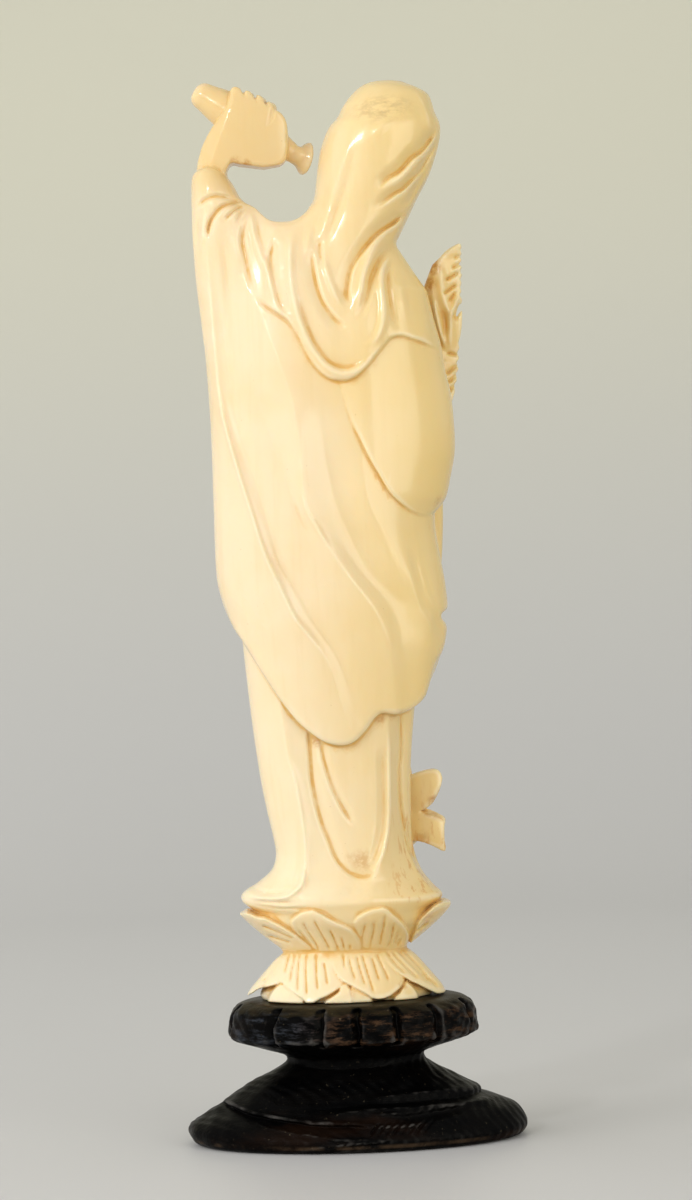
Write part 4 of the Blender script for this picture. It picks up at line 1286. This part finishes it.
def ivory():
    made = Nodes("ivory")
    fine, wide = made.value("hollow_fine"), made.value("hollow_wide")
    broad = made.noise(38, 3)
    patches = made.noise(120, 4, 0.6)
    grain = made.noise(420, 3, 0.6, (1, 1, 0.07))
    cloudy = made.noise(260, 5, 0.65)
    mottled = made.noise(800, 4, 0.7)
    place = made.node("ShaderNodeSeparateXYZ", made.place).outputs

    cream = made.mix(made.range(broad, 0.35, 0.65), (0.90, 0.735, 0.49), (0.87, 0.68, 0.40))
    low_left = made.math("MULTIPLY", made.range(place[2], 0.12, 0.05), made.range(place[0], -0.006, 0.012))
    cream = made.mix(made.math("MULTIPLY", low_left, 0.6), cream, (0.92, 0.80, 0.55))
    right = made.range(place[0], 0.012, -0.020)
    cream = made.mix(made.math("MULTIPLY", right, 0.65), cream, (0.80, 0.575, 0.165))
    ringed = made.math("MULTIPLY", made.range(place[2], 0.049, 0.047), made.range(place[2], 0.036, 0.039))
    cream = made.mix(made.math("MULTIPLY", ringed, 0.35), cream, (0.80, 0.57, 0.20))
    cream = made.mix(made.math("MULTIPLY", made.range(grain, 0.45, 0.75), 0.14), cream, (0.76, 0.54, 0.22))
    cream = made.mix(made.math("MULTIPLY", made.range(wide, 0.51, 0.72), 0.5), cream, (0.80, 0.58, 0.22))
    groove = made.range(made.math("ADD", fine, made.range(place[2], 0.049, 0.047, 0.0, 0.025)), 0.535, 0.62)
    stained = made.math("MULTIPLY", groove, made.range(patches, 0.30, 0.62, 0.35, 1.0))
    stained = made.math("MULTIPLY", stained, made.range(cloudy, 0.3, 0.6, 0.6, 1.0))
    cream = made.mix(stained, cream, (0.74, 0.43, 0.10))
    cream = made.mix(made.math("MULTIPLY", made.range(fine, 0.66, 0.78), 0.7), cream, (0.46, 0.21, 0.04))
    cream = made.mix(made.math("MULTIPLY", made.range(fine, 0.47, 0.38), 0.4), cream, (0.93, 0.81, 0.58))

    drawn = made.node("ShaderNodeVectorMath", made.place, (0.6, 0.8, 1.3), operation="MULTIPLY").outputs[0]
    crown = made.node("ShaderNodeVectorMath", drawn, (-0.0069, 0.008, 0.2655), operation="DISTANCE")
    smudge = made.math("MULTIPLY", made.range(crown.outputs["Value"], 0.0056, 0.0008),
                       made.range(made.noise(600, 5, 0.7, (0.6, 1, 1.3)), 0.38, 0.66))
    cream = made.mix(made.math("MULTIPLY", smudge, 0.5), cream, (0.46, 0.32, 0.14))
    hand = made.node("ShaderNodeVectorMath", made.place, (0.015, 0.004, 0.2015), operation="DISTANCE").outputs["Value"]
    cream = made.mix(made.math("MULTIPLY", made.range(hand, 0.020, 0.010), 0.68), cream, (0.73, 0.51, 0.19))
    dirt = 0.0
    for x, y, z, radius, share in STAINS:
        centre = (x * MM, y * MM, z * MM)
        off = made.node("ShaderNodeVectorMath", made.place, centre, operation="DISTANCE").outputs["Value"]
        spot = made.range(off, radius * MM, 0.25 * radius * MM, 0.0, share)
        dirt = made.math("MAXIMUM", dirt, spot)
    dirt = made.math("MULTIPLY", dirt, made.range(mottled, 0.36, 0.58, 0.25, 1.0))
    cream = made.mix(dirt, cream, (0.55, 0.27, 0.06))
    specks = made.range(made.noise(1500, 2, 0.5), 0.76, 0.80)
    cream = made.mix(made.math("MULTIPLY", specks, 0.5), cream, (0.40, 0.22, 0.07))
    streaked = made.math("MULTIPLY", made.range(place[2], 0.074, 0.058), made.range(place[2], 0.046, 0.050))
    streaked = made.math("MULTIPLY", streaked, made.range(place[0], -0.006, -0.012))
    streaked = made.math("MULTIPLY", streaked, made.range(made.noise(800, 4, 0.65, (1, 1, 0.2)), 0.53, 0.64))
    cream = made.mix(made.math("MULTIPLY", streaked, 0.7), cream, (0.66, 0.33, 0.08))

    rough = made.math("ADD", made.range(cloudy, 0.3, 0.7, 0.19, 0.265), made.math("MULTIPLY", groove, 0.2))
    height = made.math("ADD", made.math("MULTIPLY", grain, 0.6), made.math("MULTIPLY", cloudy, 0.5))
    made.feed(Base_Color=cream, Roughness=rough, Subsurface_Weight=0.3, Subsurface_Radius=(1.0, 0.62, 0.32),
              Subsurface_Scale=0.002, IOR=1.5, Coat_Weight=0.35, Coat_Roughness=0.1,
              Normal=made.bump(height, 0.00005))
    return made.material


def ebonised_wood():
    made = Nodes("ebonised_wood")
    fine = made.value("hollow_fine")
    grain = made.noise(240, 5, 0.65, (0.07, 1, 1.6))
    blotch = made.noise(130, 4, 0.65)
    dust = made.noise(1300, 3, 0.6)
    place = made.node("ShaderNodeSeparateXYZ", made.place)
    facing = made.node("ShaderNodeSeparateXYZ", made.node("ShaderNodeNewGeometry").outputs["Normal"])
    black = made.mix(made.range(grain, 0.35, 0.7), (0.0006, 0.0006, 0.0007), (0.0018, 0.0015, 0.0013))
    rim = made.math("MULTIPLY", made.range(place.outputs[2], 0.0200, 0.0212), made.range(place.outputs[2], 0.0275, 0.0262))
    worn = made.math("MULTIPLY", rim, made.range(made.noise(420, 5, 0.75, (0.4, 0.4, 1.6)), 0.47, 0.66))
    warm = made.mix(made.range(place.outputs[0], 0.014, 0.002), (0.030, 0.034, 0.042), (0.060, 0.032, 0.017))
    black = made.mix(made.math("MULTIPLY", worn, made.range(fine, 0.62, 0.48)), black, warm)
    level = made.math("MULTIPLY", made.range(facing.outputs[2], 0.5, 0.95), made.range(place.outputs[2], 0.024, 0.027))
    black = made.mix(made.math("MULTIPLY", level, made.range(blotch, 0.3, 0.7, 0.35, 0.9)), black, (0.034, 0.026, 0.013))
    edge = made.math("MULTIPLY", made.range(fine, 0.44, 0.32), made.range(blotch, 0.40, 0.62))
    black = made.mix(made.math("MULTIPLY", edge, 0.6), black, (0.085, 0.08, 0.075))
    hem = made.math("MULTIPLY", made.range(place.outputs[2], 0.0007, 0.0011), made.range(place.outputs[2], 0.0019, 0.0013))
    hem = made.math("MULTIPLY", hem, made.range(blotch, 0.40, 0.6, 0.0, 0.7))
    black = made.mix(hem, black, (0.06, 0.038, 0.022))
    red = made.math("MULTIPLY", made.range(made.noise(55, 4, 0.6, (0.6, 1, 2)), 0.52, 0.68), 0.3)
    black = made.mix(red, black, (0.022, 0.009, 0.004))
    pale = made.math("MULTIPLY", made.range(dust, 0.66, 0.76), made.range(fine, 0.58, 0.42, 0.1, 0.4))
    black = made.mix(pale, black, (0.16, 0.13, 0.08))
    rough = made.range(made.noise(160, 4, 0.6), 0.3, 0.7, 0.285, 0.46)
    height = made.math("ADD", grain, made.math("MULTIPLY", dust, 0.35))
    made.feed(Base_Color=black, Roughness=rough, IOR=1.45, Specular_IOR_Level=0.05,
              Normal=made.bump(height, 0.00022))
    return made.material


def paper():
    """Pale paper, neutral on the floor and a little yellow higher up."""
    made = Nodes("floor_paper")
    height = made.node("ShaderNodeSeparateXYZ", made.place).outputs[2]
    tone = made.mix(made.range(height, 0.0, 0.36), (0.60, 0.60, 0.605), (0.75, 0.74, 0.61))
    tone = made.mix(made.range(made.noise(3, 2), 0.3, 0.7, 0.0, 0.03), tone, (0.40, 0.40, 0.38))
    made.feed(Base_Color=tone, Roughness=0.45, Specular_IOR_Level=0.3)
    return made.material


# The studio: a pale floor that sweeps up behind, soft lights, and the camera behind the figure.

def backdrop():
    rows = [(1.2, 0.0), (-0.5, 0.0)]
    bend, radius = 16, 0.55
    for i in range(1, bend + 1):
        turn = i / bend * math.pi / 2
        rows.append((-0.5 - radius * math.sin(turn), radius * (1 - math.cos(turn))))
    rows.append((-1.05, 2.6))
    half = 1.8
    points = [(x, y, z) for y, z in rows for x in (-half, half)]
    faces = [(2 * i, 2 * i + 1, 2 * i + 3, 2 * i + 2) for i in range(len(rows) - 1)]
    made = bpy.data.meshes.new("floor")
    made.from_pydata(points, [], faces)
    made.polygons.foreach_set("use_smooth", np.ones(len(faces), bool))
    floor = bpy.data.objects.new("floor", made)
    bpy.context.scene.collection.objects.link(floor)
    made.materials.append(paper())
    return floor


def light(name, place, aim, size, power, colour, mirrored=True):
    lamp = bpy.data.lights.new(name, "AREA")
    lamp.shape = "RECTANGLE"
    lamp.size, lamp.size_y = size
    lamp.energy = power
    lamp.color = colour
    holder = bpy.data.objects.new(name, lamp)
    holder.location = place
    holder.visible_glossy = mirrored
    way = mathutils.Vector(aim) - mathutils.Vector(place)
    holder.rotation_euler = way.to_track_quat("-Z", "Y").to_euler()
    bpy.context.scene.collection.objects.link(holder)


def camera():
    """Level, behind the figure, leaning by two degrees as the photograph's own camera does."""
    lens = bpy.data.cameras.new("camera")
    lens.sensor_fit = "VERTICAL"
    distance, field_height = 0.70, 0.240
    lens.angle_y = 2 * math.atan(field_height / 2 / distance)
    lens.clip_start, lens.clip_end = 0.01, 10
    holder = bpy.data.objects.new("camera", lens)
    holder.location = (-0.0012, distance, 0.1076)
    lean = mathutils.Matrix.Rotation(math.radians(CAMERA_LEAN), 4, "Z")
    level = mathutils.Matrix.Rotation(math.pi, 4, "Z") @ mathutils.Matrix.Rotation(math.pi / 2, 4, "X")
    holder.rotation_euler = (level @ lean).to_euler()
    bpy.context.scene.collection.objects.link(holder)
    bpy.context.scene.camera = holder


CAMERA_LEAN = -2.0


def studio():
    backdrop()
    middle = (0, 0, 0.11)
    light("key", (0.9, 0.42, 0.38), middle, (0.7, 0.7), 5.5, (1.0, 0.985, 0.95), False)
    light("window", (0.5, 0.8, 0.55), middle, (0.1, 0.1), 1.5, (1.0, 1.0, 1.0))
    light("fill", (-0.65, 0.85, 0.25), middle, (0.8, 0.8), 4.4, (1.0, 0.955, 0.82))
    light("front", (0.65, -0.3, 0.5), middle, (0.6, 0.5), 0.9, (1.0, 1.0, 1.0), False)
    sky = bpy.data.worlds.new("studio")
    sky.use_nodes = True
    sky.node_tree.nodes["Background"].inputs[0].default_value = (1.0, 0.99, 0.97, 1)
    sky.node_tree.nodes["Background"].inputs[1].default_value = 0.62
    bpy.context.scene.world = sky
    bpy.context.scene.view_settings.view_transform = "Standard"


def dressed(name, grid, most, scales, material, node):
    piece = carved_mesh(name, grid, most, scales)
    piece.data.materials.append(material)
    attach(piece, "root")
    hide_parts(node)
    return piece


camera()
SCALES = (("hollow_fine", 0.7), ("hollow_wide", 2.4))
dressed("ivory_carving", carving(), MOST_TRIANGLES, SCALES, ivory(), "ivory_figure")
dressed("carved_stand", stand(), 120000, SCALES, ebonised_wood(), "wooden_stand")
studio()
